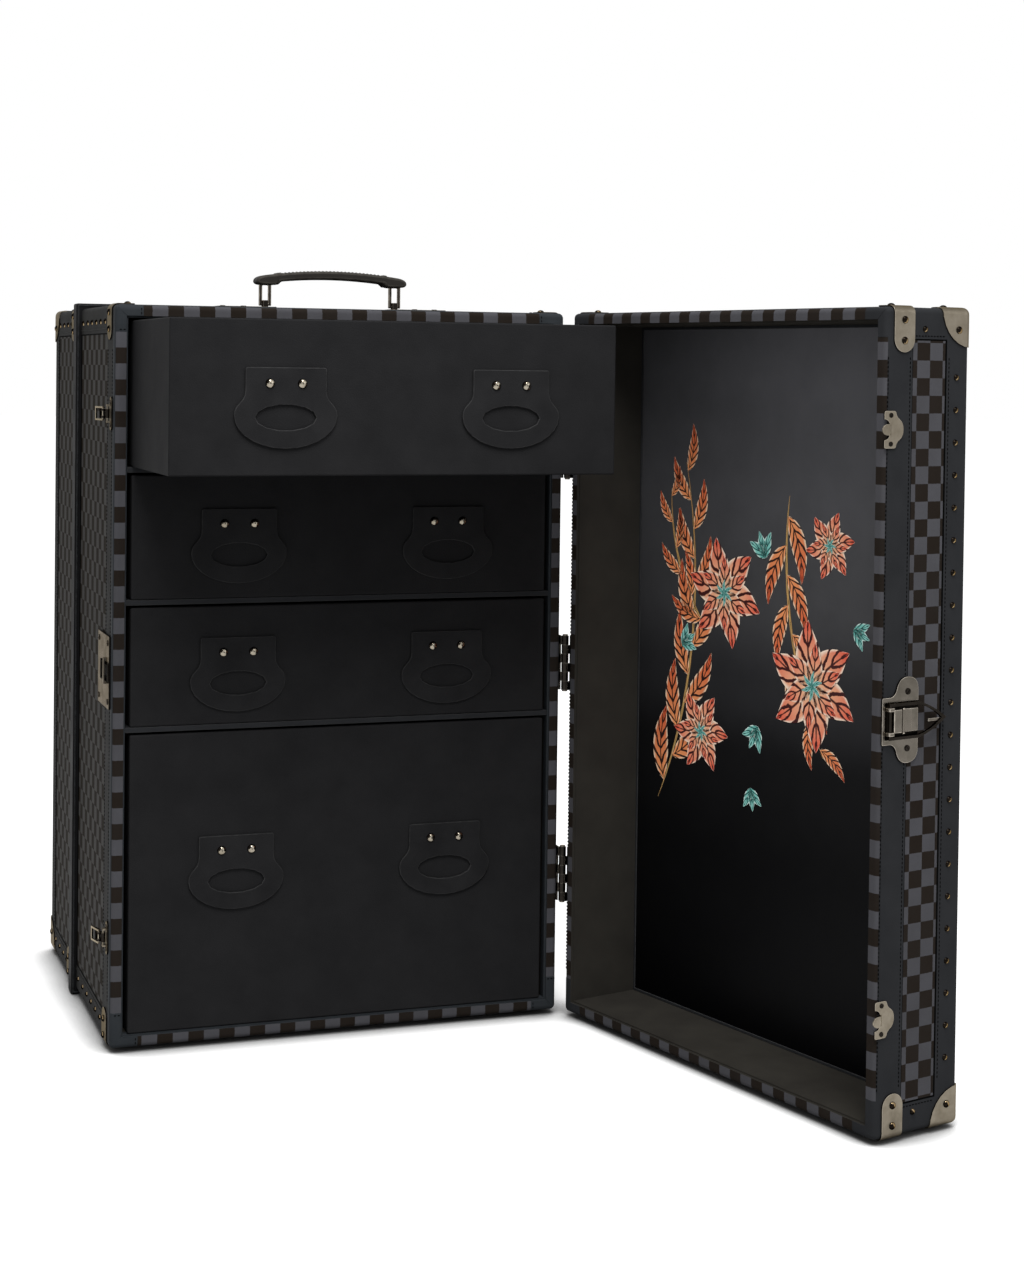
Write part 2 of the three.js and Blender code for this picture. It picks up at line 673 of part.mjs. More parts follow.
// Draw catches: a base on the cabinet, a lever on its rod and a loop on the lever
function addCatch(level, z) {
  const top = touchGap + catchPlate;
  const parts = [block(
    onCabinet(catchStart, z - catchHalf, touchGap),
    onCabinet(catchStart + catchLength, z + catchHalf, top),
  )];
  const holes = [];
  for (const sign of [-1, 1]) {
    const ear = (out) => onCabinet(catchEarBack, z + sign * catchEarUp, out);
    parts.push(rod(ear(touchGap), ear(top), catchEarRadius));
    holes.push(rod(ear(-overrun), ear(overrun), screwHole));
    const start = z + sign * catchPostStart;
    parts.push(block(
      onCabinet(catchPivotBack - catchPostHalf, start, touchGap),
      onCabinet(catchPivotBack + catchPostHalf, start + sign * catchPost, catchPivotOut + catchRod),
    ));
  }
  const rodHalf = catchPostStart + catchPost;
  const rodEnd = (up) => onCabinet(catchPivotBack, z + up, catchPivotOut);
  parts.push(rod(rodEnd(-rodHalf), rodEnd(rodHalf), catchRod));
  trunk.add(meshOf(`catch_base_${level}`, cut(join(...parts), ...holes), metal));

  // The lever and the loop are drawn about the lever's pivot, lying back along +Y, outwards along -X
  const lever = new THREE.Group();
  lever.position.copy(rodEnd(0));
  lever.rotation.z = catchRest;
  const bossOut = catchLever / 2 + bossRadius;
  const barrel = rod(at(0, 0, -catchNeckHalf), at(0, 0, catchNeckHalf), catchBarrel);
  const neck = block(
    at(catchLever / 2, 0, -catchNeckHalf),
    at(-catchLever / 2, catchNeckLength, catchNeckHalf),
  );
  const flap = block(
    at(catchLever / 2, catchNeckLength, -catchLeverHalf),
    at(-catchLever / 2, catchLeverLength, catchLeverHalf),
  );
  const boss = rod(at(-bossOut, loopPivot, -catchNeckHalf), at(-bossOut, loopPivot, catchNeckHalf), bossRadius);
  const bossRoot = block(
    at(0, loopPivot - bossRadius, -catchNeckHalf),
    at(-bossOut, loopPivot + bossRadius, catchNeckHalf),
  );
  const bores = [
    rod(at(0, 0, -overrun), at(0, 0, overrun), catchRod + touchGap),
    rod(at(-bossOut, loopPivot, -overrun), at(-bossOut, loopPivot, overrun), loopBar + touchGap),
    block(at(-overrun, catchWindowStart, -catchWindowHalf), at(overrun, catchNeckLength, catchWindowHalf)),
  ];
  lever.add(meshOf(`catch_lever_${level}`, cut(join(barrel, neck, flap, boss, bossRoot), ...bores), metal));
  const outerHalf = loopHalf + loopWire / 2;
  const innerHalfLoop = loopHalf - loopWire / 2;
  const ring = block(
    at(-bossOut + loopWire / 2, loopPivot - loopWire / 2, -outerHalf),
    at(-bossOut - loopWire / 2, loopPivot + loopLength, outerHalf),
  );
  const eye = block(
    at(overrun, loopPivot - loopWire, -innerHalfLoop),
    at(-overrun, loopPivot + loopLength - loopWire, innerHalfLoop),
  );
  const bar = rod(at(-bossOut, loopPivot, -loopHalf), at(-bossOut, loopPivot, loopHalf), loopBar);
  lever.add(meshOf(`catch_loop_${level}`, join(cut(ring, eye), bar), metal));
  trunk.add(lever);
}

function addHook(level, z) {
  const top = touchGap + hookPlate;
  const parts = [
    block(onDoor(-hookOverhang, z - hookHalf, touchGap), onDoor(hookLength, z + hookHalf, top)),
    rod(onDoor(hookLobeDeep, z, touchGap), onDoor(hookLobeDeep, z, top), hookLobe),
  ];
  const cuts = [block(
    onDoor(-hookOverhang - overrun, z - hookNotch, -overrun),
    onDoor(0, z + hookNotch, overrun),
  )];
  for (const sign of [-1, 1]) {
    const hole = (out) => onDoor(hookHoleDeep, z + sign * hookHoleUp, out);
    cuts.push(rod(hole(-overrun), hole(overrun), screwHole));
  }
  const stem = block(
    onDoor(tongueRoot - tongueStem, z - tongueHalf, touchGap),
    onDoor(tongueRoot, z + tongueHalf, tongueOut),
  );
  const tongue = block(
    onDoor(-tongueReach, z - tongueHalf, tongueOut - tongueThickness),
    onDoor(tongueRoot, z + tongueHalf, tongueOut),
  );
  door.add(meshOf(`hook_plate_${level}`, join(cut(join(...parts), ...cuts), stem, tongue), metal));
}

addCarcass();
addGlides();
addCaps(trunk, 'rear_cap', at(-halfWidth, frontY, 0), at(halfWidth, backY, trunkHeight), backY);
addDrawers();
addDoor();
addHinges();
addHandle();
addLock();
addStrike();
for (const [level, height] of Object.entries(catchHeights)) {
  addCatch(level, height);
  addHook(level, height);
}

export default trunk;
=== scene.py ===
import math

import bmesh
import bpy
from mathutils import Matrix, Vector


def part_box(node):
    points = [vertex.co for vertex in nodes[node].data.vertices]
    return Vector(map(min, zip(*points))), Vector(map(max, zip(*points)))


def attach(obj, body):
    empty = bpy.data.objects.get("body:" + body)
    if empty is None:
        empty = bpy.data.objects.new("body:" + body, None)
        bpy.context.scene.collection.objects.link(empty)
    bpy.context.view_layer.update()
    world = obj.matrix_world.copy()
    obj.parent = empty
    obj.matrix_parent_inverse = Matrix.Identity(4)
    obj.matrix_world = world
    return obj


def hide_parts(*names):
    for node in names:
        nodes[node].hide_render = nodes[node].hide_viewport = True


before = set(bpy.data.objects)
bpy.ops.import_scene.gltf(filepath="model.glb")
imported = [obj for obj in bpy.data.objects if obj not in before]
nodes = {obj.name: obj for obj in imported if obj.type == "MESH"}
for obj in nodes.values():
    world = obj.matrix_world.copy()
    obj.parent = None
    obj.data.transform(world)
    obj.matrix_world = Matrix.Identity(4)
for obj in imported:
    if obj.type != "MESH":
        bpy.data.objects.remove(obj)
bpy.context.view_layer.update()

print("frame loaded,", len(nodes), "nodes")

# Everything is modelled in millimetres with the door shut, then scaled and, for the door, turned open
square = 18.0
trunk = {"width": 541.0, "height": 846.0, "frontY": -240.0, "backY": 240.0, "wall": 15.0, "rounding": 6.0,
         "rearY": 37.6, "faceY": -240.4}
door = {"mouthY": -242.0, "depth": 117.0, "hinge": (276.5, -241.0, 0.0), "open": 104.6, "panelY": -336.7,
        "bodies": ("door", "bail", "lock_tongue")}
half = trunk["width"] / 2
height = trunk["height"]
innerHalf = half - trunk["wall"]
innerTop = height - trunk["wall"]
farY = door["mouthY"] - door["depth"]
hingePoint = Vector(door["hinge"])
doorTurn = (Matrix.Translation(hingePoint) @ Matrix.Rotation(math.radians(door["open"]), 4, "Z")
            @ Matrix.Translation(-hingePoint))


# Shader nodes

def plug(tree, socket, source):
    if isinstance(source, bpy.types.NodeSocket):
        tree.links.new(source, socket)
    else:
        socket.default_value = (*source, 1.0) if socket.type == "RGBA" and len(source) == 3 else source


def addNode(tree, kind, links=(), **values):
    node = tree.nodes.new("ShaderNode" + kind)
    for key, value in values.items():
        setattr(node, key, value)
    for key, source in dict(links).items():
        plug(tree, node.inputs[key], source)
    return node


def mathNode(tree, operation, a, b=0.0, clamp=False):
    return addNode(tree, "Math", {0: a, 1: b}, operation=operation, use_clamp=clamp).outputs[0]


def vectorNode(tree, operation, a, b):
    return addNode(tree, "VectorMath", {0: a, 1: b}, operation=operation).outputs[0]


def noiseNode(tree, vector, scale, detail=2.0, roughness=0.5):
    return addNode(tree, "TexNoise", {"Vector": vector, "Scale": scale, "Detail": detail,
                                      "Roughness": roughness}).outputs


def mixColour(tree, factor, a, b):
    return addNode(tree, "Mix", {0: factor, 6: a, 7: b}, data_type="RGBA").outputs[2]


def rangeNode(tree, value, fromMin, fromMax, toMin=0.0, toMax=1.0, kind="LINEAR"):
    return addNode(tree, "MapRange", {"Value": value, "From Min": fromMin, "From Max": fromMax, "To Min": toMin,
                                      "To Max": toMax}, interpolation_type=kind).outputs[0]


def newGroup(name, inputs, outputs):
    # An input without a value is a vector; the other inputs and all outputs are numbers
    group = bpy.data.node_groups.new(name, "ShaderNodeTree")
    for label, value in inputs.items():
        kind = "NodeSocketVector" if value is None else "NodeSocketFloat"
        socket = group.interface.new_socket(label, in_out="INPUT", socket_type=kind)
        if value is not None:
            socket.default_value = value
    for label in outputs:
        group.interface.new_socket(label, in_out="OUTPUT", socket_type="NodeSocketFloat")
    return group, group.nodes.new("NodeGroupInput").outputs, group.nodes.new("NodeGroupOutput").inputs


# Pebbled grain of leather and coated canvas: a height for the bump and a slow change of tone
grain, given, result = newGroup("hideGrain", {"Vector": None, "Scale": 900.0}, ["Height", "Tone"])
cells = addNode(grain, "TexVoronoi", {"Vector": given[0], "Scale": given[1]}, feature="SMOOTH_F1")
fineNoise = noiseNode(grain, given[0], mathNode(grain, "MULTIPLY", given[1], 2.3), 3.0)[0]
slowNoise = noiseNode(grain, given[0], 22.0, 4.0, 0.6)[0]
domes = mathNode(grain, "SUBTRACT", 1.0, cells.outputs["Distance"])
plug(grain, result[0], mathNode(grain, "ADD", domes, mathNode(grain, "MULTIPLY", fineNoise, 0.35)))
plug(grain, result[1], rangeNode(grain, slowNoise, 0.3, 0.7))

# Printed checks in squares, with a slightly uneven edge
checks, given, result = newGroup("printedChecks", {"Squares": None, "Place": None}, ["Light", "Print"])
centred = vectorNode(checks, "SUBTRACT", noiseNode(checks, given[1], 420.0)["Color"], (0.5, 0.5, 0.5))
nudge = vectorNode(checks, "MULTIPLY", centred, (0.035, 0.035, 0.0))
pattern = addNode(checks, "TexChecker", {"Vector": vectorNode(checks, "ADD", given[0], nudge), "Scale": 1.0})
plug(checks, result[0], mathNode(checks, "SUBTRACT", 1.0, pattern.outputs[1]))
plug(checks, result[1], noiseNode(checks, given[1], 1500.0)[0])

# Paler edges: the attribute of an eased face, broken up by noise. On leather and canvas they are partly worn by
# rubbing and partly a painted highlight; on metal they are a painted highlight
wornAndHighlightedEdge, given, result = newGroup("wornAndHighlightedEdges", {"Vector": None, "Amount": 0.5}, ["Wear"])
edgeValue = addNode(wornAndHighlightedEdge, "Attribute", attribute_name="edgeWearAndHighlight").outputs["Fac"]
edgeNoiseShare = rangeNode(wornAndHighlightedEdge, noiseNode(wornAndHighlightedEdge, given[0], 160.0, 5.0)[0], 0.35, 0.65, 0.35, 1.0)
edgeMask = mathNode(wornAndHighlightedEdge, "MULTIPLY", edgeValue, edgeNoiseShare)
plug(wornAndHighlightedEdge, result[0], mathNode(wornAndHighlightedEdge, "MULTIPLY", edgeMask, given[1], True))

# Fine brushing and tarnish of the metal
brushed, given, result = newGroup("brushedMetal", {"Vector": None, "Scale": 60.0}, ["Scratch", "Tarnish"])
stretched = vectorNode(brushed, "MULTIPLY", given[0], (9.0, 9.0, 1.0))
plug(brushed, result[0], noiseNode(brushed, stretched, given[1], 4.0)[0])
plug(brushed, result[1], rangeNode(brushed, noiseNode(brushed, given[0], 45.0, 5.0, 0.65)[0], 0.4, 0.7))


# Materials

def grey(*colour):
    return tuple(c / 12.92 if c <= 0.04045 else ((c + 0.055) / 1.055) ** 2.4 for c in (v / 255 for v in colour))


def startMaterial(name):
    material = bpy.data.materials.new(name)
    material.use_nodes = True
    tree = material.node_tree
    return tree, tree.nodes["Principled BSDF"].inputs, addNode(tree, "TexCoord").outputs["Object"]


def groupNode(tree, group, first, second):
    return addNode(tree, "Group", {0: first, 1: second}, node_tree=group).outputs


def wearAndHighlightEdges(tree, place, edgeWearAndHighlight, colour, edge):
    return mixColour(tree, groupNode(tree, wornAndHighlightedEdge, place, edgeWearAndHighlight)[0], colour, grey(*edge))


def dress(tree, sockets, colour, roughness, height, depth, strength, specular=None):
    bump = addNode(tree, "Bump", {"Height": height, "Distance": depth, "Strength": strength})
    for label, source in (("Base Color", colour), ("Roughness", roughness), ("Normal", bump.outputs[0])):
        plug(tree, sockets[label], source)
    if specular is not None:
        sockets["Specular IOR Level"].default_value = specular


def hideMaterial(name, base, tone, edge, rough, scale, depth, edgeWearAndHighlight, specular):
    tree, sockets, place = startMaterial(name)
    skin = groupNode(tree, grain, place, scale)
    colour = wearAndHighlightEdges(tree, place, edgeWearAndHighlight, mixColour(tree, skin["Tone"], grey(*base), grey(*tone)), edge)
    roughness = rangeNode(tree, skin["Tone"], 0.0, 1.0, rough - 0.05, rough + 0.06)
    dress(tree, sockets, colour, roughness, skin["Height"], depth, 0.6, specular)


def checkMaterial(name, light, fleck, dark, tone):
    look = {"edge": (88, 86, 84), "rough": 0.7, "grain": 1500.0, "depth": 0.00014, "edgeWearAndHighlight": 0.5, "specular": 0.012}
    tree, sockets, place = startMaterial(name)
    squares = addNode(tree, "UVMap", uv_map="squares").outputs[0]
    printed = groupNode(tree, checks, squares, place)
    skin = groupNode(tree, grain, place, look["grain"])
    flecked = mixColour(tree, printed["Print"], grey(*light), grey(*fleck))
    colours = mixColour(tree, printed["Light"], grey(*dark), flecked)
    toned = mixColour(tree, rangeNode(tree, skin["Tone"], 0.0, 1.0, 0.0, 0.25), colours, grey(*tone))
    roughness = rangeNode(tree, printed["Light"], 0.0, 1.0, look["rough"], look["rough"] - 0.08)
    relief = mathNode(tree, "ADD", skin["Height"], mathNode(tree, "MULTIPLY", printed["Light"], 0.3))
    dress(tree, sockets, wearAndHighlightEdges(tree, place, look["edgeWearAndHighlight"], toned, look["edge"]), roughness, relief,
          look["depth"], 0.5, look["specular"])


def metalMaterial(name, base, tarnish, edge, rough, depth, edgeWearAndHighlight):
    tree, sockets, place = startMaterial(name)
    surface = groupNode(tree, brushed, place, 70.0)
    colour = mixColour(tree, surface["Tarnish"], grey(*base), grey(*tarnish))
    roughness = rangeNode(tree, surface["Tarnish"], 0.0, 1.0, rough, rough + 0.14)
    dress(tree, sockets, wearAndHighlightEdges(tree, place, edgeWearAndHighlight, colour, edge), roughness, surface["Scratch"], depth, 0.4)
    sockets["Metallic"].default_value = 1.0
    sockets["Specular Tint"].default_value = (*grey(*edge), 1.0)


# Canvas: light square, its flecks, dark square and slow tone. The carcass's canvas and leather are the door's made a
# little darker and warmer, as painted shade on the carcass
canvases = {"checkerCanvas": ((68, 68, 72), (78, 78, 82), (33, 28, 24), (44, 42, 41)),
            "sideCanvas": ((62, 61, 60), (71, 70, 69), (32, 28, 23), (41, 39, 37))}
# Leather and cloth: base, tone and edge colours, roughness, grain, its depth, share of the paler edge colour and
# reflection. The paler edges are partly worn by rubbing and partly a painted highlight
hides = {"bandLeather": ((37, 38, 40), (43, 44, 46), (66, 66, 66), 0.6, 1300.0, 0.00018, 0.7, 0.016),
         "sideLeather": ((34, 34, 34), (40, 40, 39), (63, 62, 60), 0.6, 1300.0, 0.00018, 0.7, 0.016),
         "slateLeather": ((40, 43, 46), (47, 50, 53), (76, 81, 86), 0.56, 1300.0, 0.00018, 0.7, 0.02),
         "trimLeather": ((20, 20, 21), (26, 26, 27), (74, 76, 78), 0.5, 1300.0, 0.00015, 1.0, 0.02),
         "gripLeather": ((36, 34, 32), (43, 41, 38), (70, 67, 62), 0.5, 1300.0, 0.00018, 0.7, 0.05),
         "drawerLeather": ((30, 30, 31), (35, 35, 36), (112, 110, 106), 0.58, 750.0, 0.0004, 0.75, 0.012),
         "pullLeather": ((29, 29, 30), (37, 37, 38), (60, 60, 60), 0.56, 900.0, 0.0003, 0.6, 0.02),
         "liningCloth": ((44, 42, 39), (51, 49, 45), (70, 68, 64), 0.75, 1800.0, 0.00014, 0.4, 0.01),
         "thread": ((5, 5, 5), (10, 10, 10), (20, 20, 20), 0.8, 2500.0, 0.0001, 0.0, 0.01)}
# Metals: base, tarnish and edge colours, roughness, depth of the brushing and share of the edge colour. On metal the
# paler eased edges are a painted highlight
metals = {"satinNickel": ((122, 115, 103), (104, 97, 85), (172, 164, 150), 0.32, 0.00002, 0.8),
          # The bright nickel is the catch loops' own finish and the painted highlight on the pulls' rivets
          "brightNickel": ((150, 143, 130), (120, 112, 98), (206, 198, 184), 0.14, 0.00001, 0.8),
          "gunmetal": ((99, 94, 87), (81, 77, 70), (184, 176, 164), 0.26, 0.00002, 0.9),
          "blackNickel": ((38, 35, 32), (28, 26, 23), (160, 152, 140), 0.16, 0.00001, 0.9),
          # A rivet's dark dome and its brass are a painted dark reflection and a painted highlight on one side
          "darkDome": ((26, 22, 18), (18, 15, 12), (90, 80, 66), 0.1, 0.00001, 0.3),
          "agedBrass": ((142, 124, 96), (116, 98, 72), (180, 160, 130), 0.16, 0.00001, 0.5),
          # The dark rim metal is the strike guard's own dark metal and the painted shade on the thin walls of plates
          # and in the lock's recess
          "darkRim": ((22, 20, 18), (15, 14, 12), (70, 66, 60), 0.35, 0.00001, 0.4)}
for maker, looks in ((checkMaterial, canvases), (hideMaterial, hides), (metalMaterial, metals)):
    for name, look in looks.items():
        maker(name, *look)
print("materials made")


# Objects and meshes

def addObject(name, data):
    made = bpy.data.objects.new(name, data)
    bpy.context.scene.collection.objects.link(made)
    return made


def meshOf(bm, name="template"):
    mesh = bpy.data.meshes.new(name)
    bm.to_mesh(mesh)
    bm.free()
    return mesh


def copyOf(node, body="trunk"):
    bm = bmesh.new()
    bm.from_mesh(nodes[node].data)
    bm.transform(Matrix.Scale(1000.0, 4))
    if body in door["bodies"]:
        bm.transform(doorTurn.inverted())
    bmesh.ops.remove_doubles(bm, verts=bm.verts, dist=0.01)
    bmesh.ops.dissolve_limit(bm, angle_limit=math.radians(1.0), verts=bm.verts, edges=bm.edges)
    faceOut(bm)
    return bm


def mid(face):
    return face.calc_center_median()


def faceOut(bm):
    bmesh.ops.recalc_face_normals(bm, faces=bm.faces)


def edgeWearAndHighlightLayer(bm):
    return bm.faces.layers.float.get("edgeWearAndHighlight") or bm.faces.layers.float.new("edgeWearAndHighlight")


def bevel(bm, geom, offset, segments, affect="EDGES", clamp=False):
    return bmesh.ops.bevel(bm, geom=geom, offset=offset, offset_type="OFFSET", segments=segments, profile=0.5,
                           affect=affect, material=-1, clamp_overlap=clamp)["faces"]


def roundEdges(bm, width, segments=2, angle=50.0, chosen=None):
    edgeWearAndHighlight = edgeWearAndHighlightLayer(bm)
    sharp = [e for e in bm.edges if e.is_manifold and e.calc_face_angle(0.0) > math.radians(angle)
             and (chosen is None or chosen(e))]
    # The bevelled faces are marked for the paler edge colour, partly worn by rubbing and partly a painted highlight
    for face in bevel(bm, sharp, width, segments, clamp=True):
        face[edgeWearAndHighlight] = 1.0
    return bm


def inset(bm, faces, thickness, depth=0.0):
    return bmesh.ops.inset_region(bm, faces=faces, thickness=thickness, depth=depth, use_even_offset=True,
                                  use_boundary=True)["faces"]


def extrude(bm, faces, shift, dropped=()):
    grown = bmesh.ops.extrude_face_region(bm, geom=faces)["geom"]
    if dropped:
        bmesh.ops.delete(bm, geom=dropped, context="FACES_ONLY")
    bmesh.ops.translate(bm, vec=shift, verts=[g for g in grown if isinstance(g, bmesh.types.BMVert)])
    faceOut(bm)


def cut(bm, geom, place, normal):
    bmesh.ops.bisect_plane(bm, geom=geom, dist=0.001, plane_co=place, plane_no=normal)


def sliceAt(bm, *planes):
    for axis, value in planes:
        normal = Vector((axis == "x", axis == "y", axis == "z"))
        cut(bm, bm.verts[:] + bm.edges[:] + bm.faces[:], normal * value, normal)


def sidesAt(*values):
    return [("x", side * value) for value in values for side in (-1, 1)]


def makePiece(name, bm, finishes, body, replaced=(), smooth=42.0):
    if body in door["bodies"]:
        bm.transform(doorTurn)
    bm.transform(Matrix.Scale(0.001, 4))
    for edge in bm.edges:
        edge.smooth = edge.is_manifold and edge.calc_face_angle(0.0) < math.radians(smooth)
    for face in bm.faces:
        face.smooth = True
    mesh = meshOf(bm, name)
    if "custom_normal" in mesh.attributes:
        mesh.attributes.remove(mesh.attributes["custom_normal"])
    piece = addObject(name, mesh)
    for finish in finishes.split():
        mesh.materials.append(bpy.data.materials[finish])
    piece.modifiers.new("normals", "WEIGHTED_NORMAL").keep_sharp = True
    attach(piece, body)
    if replaced:
        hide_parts(*replaced)


def stamp(bm, shape, matrix):
    start = len(bm.verts)
    bm.from_mesh(shape)
    bm.verts.ensure_lookup_table()
    bmesh.ops.transform(bm, matrix=matrix, verts=bm.verts[start:])


def gather(members, body="trunk"):
    bm = bmesh.new()
    for member in members:
        bm.from_mesh(meshOf(copyOf(member, body)))
    return bm


def axesMatrix(*axes):
    return Matrix(axes).transposed().to_4x4()


def at(x, y, z, out):
    # A place on the trunk, with the local Z axis pointing out and Y up, or back on a level face
    zAxis = Vector(out)
    xAxis = Vector((0.0, out[2] != 0, out[2] == 0)).cross(zAxis)
    return Matrix.Translation((x, y, z)) @ axesMatrix(xAxis, zAxis.cross(xAxis), zAxis)


def stampAround(bm, shape, matrix, sides=(-1, 1), levels=(-1, 1)):
    # Repeats a shape of the upper left on the other sides
    for sideX in sides:
        for sideZ in levels:
            flip = Matrix.Diagonal((-sideX, 1, 1, 1))
            if sideZ < 0:
                flip = flip @ Matrix.Translation((0, 0, height)) @ Matrix.Diagonal((1, 1, -1, 1))
            stamp(bm, shape, flip @ matrix)


def squaresBy(phase):
    # u and v in squares on each side of a box, from one corner of a light square
    def place(face, co):
        n = face.normal
        deep = (co.y - phase["startY"]) * phase.get("towards", 1.0) / square - phase["deep"]
        across, up = co.x / square - phase["across"], co.z / square - phase["up"]
        if abs(n.x) >= max(abs(n.y), abs(n.z)):
            return deep, up
        return (across, deep) if abs(n.z) >= abs(n.y) else (across, up)
    return place


def addSquares(bm, place):
    layer = bm.loops.layers.uv.new("squares")
    bm.normal_update()
    for face in bm.faces:
        for loop in face.loops:
            loop[layer].uv = place(face, loop.vert.co)


def sinkFields(bm, isField):
    # The printed canvas lies a little below the turned edges of the leather, and the step takes the black of the
    # stitching as a painted shadow line
    edgeWearAndHighlight = edgeWearAndHighlightLayer(bm)
    fields = [f for f in bm.faces if isField(f)]
    for face in fields:
        face.material_index = 1
    for face in inset(bm, fields, carcass["step"], -carcass["sink"]):
        face.material_index = 3
        face[edgeWearAndHighlight] = 0.0


# Carcass: leather at the edges, checkered canvas in the fields
carcass = {"sideBand": 50.0, "levelBand": 32.0, "rearBandStart": 36.0, "backBand": 34.0, "topBand": 60.0,
           "rearTop": (41.0, 180.0), "step": 1.6, "sink": 0.9, "ease": 0.4, "frontFrom": -237.5, "far": 300.0}
cabinetPhase = {"startY": -240.0, "deep": 8.14, "up": 43.16, "across": 0.5}
rearPhase = {"startY": -240.0, "deep": 21.9, "up": 43.02, "across": 0.5}
framePhase = {"left": 44.28, "right": 25.91, "top": -12.695, "bottom": -13.0}
patch = {"across": 32.0, "upperLeg": 31.0, "lowerLeg": 41.0, "raise": 0.35, "mitre": 60.0, "reach": 13.5}
flat, tilted, outermost = 0.98, 0.35, trunk["rounding"] + 0.5


def railSquares(phase):
    # Half a square on the middle of each rail of a frame, and whole squares along it
    def place(face, co):
        x, z = mid(face).xz
        if abs(x) > innerHalf - 3.0 and 16.0 < z < height - 16.0 or abs(x) > innerHalf + 1.0:
            return 0.5, co.z / square - phase["left" if x < 0 else "right"]
        return co.x / square - phase["top" if z > height / 2 else "bottom"], 0.5
    return place


def raisePatches(bm, isFront):
    # Each leg of a corner patch is raised by itself, so a mitre seam is left between the two
    legs = {}
    for face in bm.faces:
        x, _, z = mid(face)
        fromSide, fromEnd = half - abs(x), min(z, height - z)
        isUpper = z > height / 2
        if (isFront(face) and fromSide < patch["across"] and fromEnd < patch["upperLeg" if isUpper else "lowerLeg"]
                and min(fromSide, fromEnd) < patch["reach"]):
            face.material_index = 0
            legs.setdefault((x > 0, isUpper, fromSide < fromEnd), []).append(face)
    for faces in legs.values():
        inset(bm, faces, patch["raise"], patch["raise"])


def cutRails(bm):
    # Cuts at the inner sides of the rails, at the ends of the patches and along the four mitres
    sliceAt(bm, *sidesAt(innerHalf, half - patch["across"]), ("z", trunk["wall"]), ("z", innerTop),
            ("z", height - patch["upperLeg"]), ("z", patch["lowerLeg"]))
    for side in (-1, 1):
        for level in (0.0, height):
            corner = Vector((side * half, 0.0, level))
            reach = [f for f in bm.faces if (mid(f) - corner).xz.length < patch["mitre"]]
            near = [*reach, *dict.fromkeys(e for f in reach for e in f.edges),
                    *dict.fromkeys(v for f in reach for v in f.verts)]
            cut(bm, near, corner, Vector((1.0, 0.0, -side if level else side)).normalized())


def cutFields(bm, deepCuts, *bands):
    sliceAt(bm, *[("y", y) for y in deepCuts], ("z", carcass["levelBand"]), ("z", height - carcass["levelBand"]),
            *sidesAt(*[half - band for band in bands]))


def fieldTest(side, top, band, end=None, endBand=0.0, below=False):
    # Tells the canvas of a shell, which is on its sides and top, between two depths, and on its end face
    def isField(face):
        c, n = mid(face), face.normal
        level = carcass["levelBand"] < c.z < height - carcass["levelBand"]
        if abs(n.x) > flat:
            return abs(c.x) > half - 1 and level and side[0] < c.y < side[1]
        if abs(n.y) > flat:
            return end is not None and abs(c.y - end) < 1 and level and abs(c.x) < half - endBand
        return (abs(n.z) > flat and (c.z > height - 1 or below and c.z < 1) and abs(c.x) < half - band
                and top[0] < c.y < top[1])
    return isField


def outerBox(face, lowY, highY):
    # True on the outside of a shell, false in its hollow and on its cut ends
    c = mid(face)
    return abs(c.x) > half - outermost or not outermost <= c.z <= height - outermost or c.y < lowY or c.y > highY


def isFrameFront(face):
    return face.normal.y < -tilted and mid(face).y < carcass["frontFrom"]


bm = copyOf("front_frame")
cutRails(bm)
for face in bm.faces:
    face.material_index = int(isFrameFront(face))
raisePatches(bm, isFrameFront)
roundEdges(bm, carcass["ease"])
addSquares(bm, railSquares(framePhase))
makePiece("frontFrame", bm, "slateLeather checkerCanvas", "trunk", ["front_frame"])

cabinetFieldY = trunk["frontY"] + carcass["sideBand"]
rearFieldY = trunk["rearY"] + carcass["rearBandStart"]
backFieldY = trunk["backY"] - carcass["backBand"]
cabinetSide = (cabinetFieldY, carcass["far"])
shells = [("cabinetShell", "cabinet_shell", cabinetPhase, (cabinetFieldY,), (carcass["topBand"],), carcass["far"],
           fieldTest(cabinetSide, cabinetSide, carcass["topBand"])),
          ("rearShell", "rear_shell", rearPhase, (rearFieldY, backFieldY), (carcass["topBand"], carcass["backBand"]),
           trunk["backY"] - outermost, fieldTest((rearFieldY, backFieldY), carcass["rearTop"], carcass["topBand"],
                                                 trunk["backY"], carcass["backBand"]))]
for name, node, phase, deepCuts, bands, lastY, isField in shells:
    bm = copyOf(node)
    cutFields(bm, deepCuts, *bands)
    sinkFields(bm, isField)
    for face in bm.faces:
        if not outerBox(face, -carcass["far"], lastY):
            face.material_index = 2
    roundEdges(bm, carcass["ease"], 1, 60.0)
    addSquares(bm, squaresBy(phase))
    makePiece(name, bm, "sideLeather sideCanvas liningCloth thread", "trunk", [node])

makePiece("seamBand", roundEdges(copyOf("seam_band"), 0.5), "trimLeather", "trunk", ["seam_band"])
print("carcass made")

# Door shell, panel and trim
doorLook = {"mouthBand": 36.0, "outerBand": 84.5, "faceBand": 36.0, "rimDepth": 2.6, "rimRound": 4.2, "rimZone": 4.5}
doorPhase = {"startY": -242.0, "towards": -1.0, "deep": 3.42, "up": 44.01, "across": 0.5}
rimPhase = {"left": 44.01, "right": 25.5, "top": -12.4, "bottom": -12.4}
mouthFieldY = door["mouthY"] - doorLook["mouthBand"]
outerFieldY = door["mouthY"] - doorLook["outerBand"]


def isDoorRim(face):
    return face.normal.y > tilted and mid(face).y > door["mouthY"] - doorLook["rimDepth"]


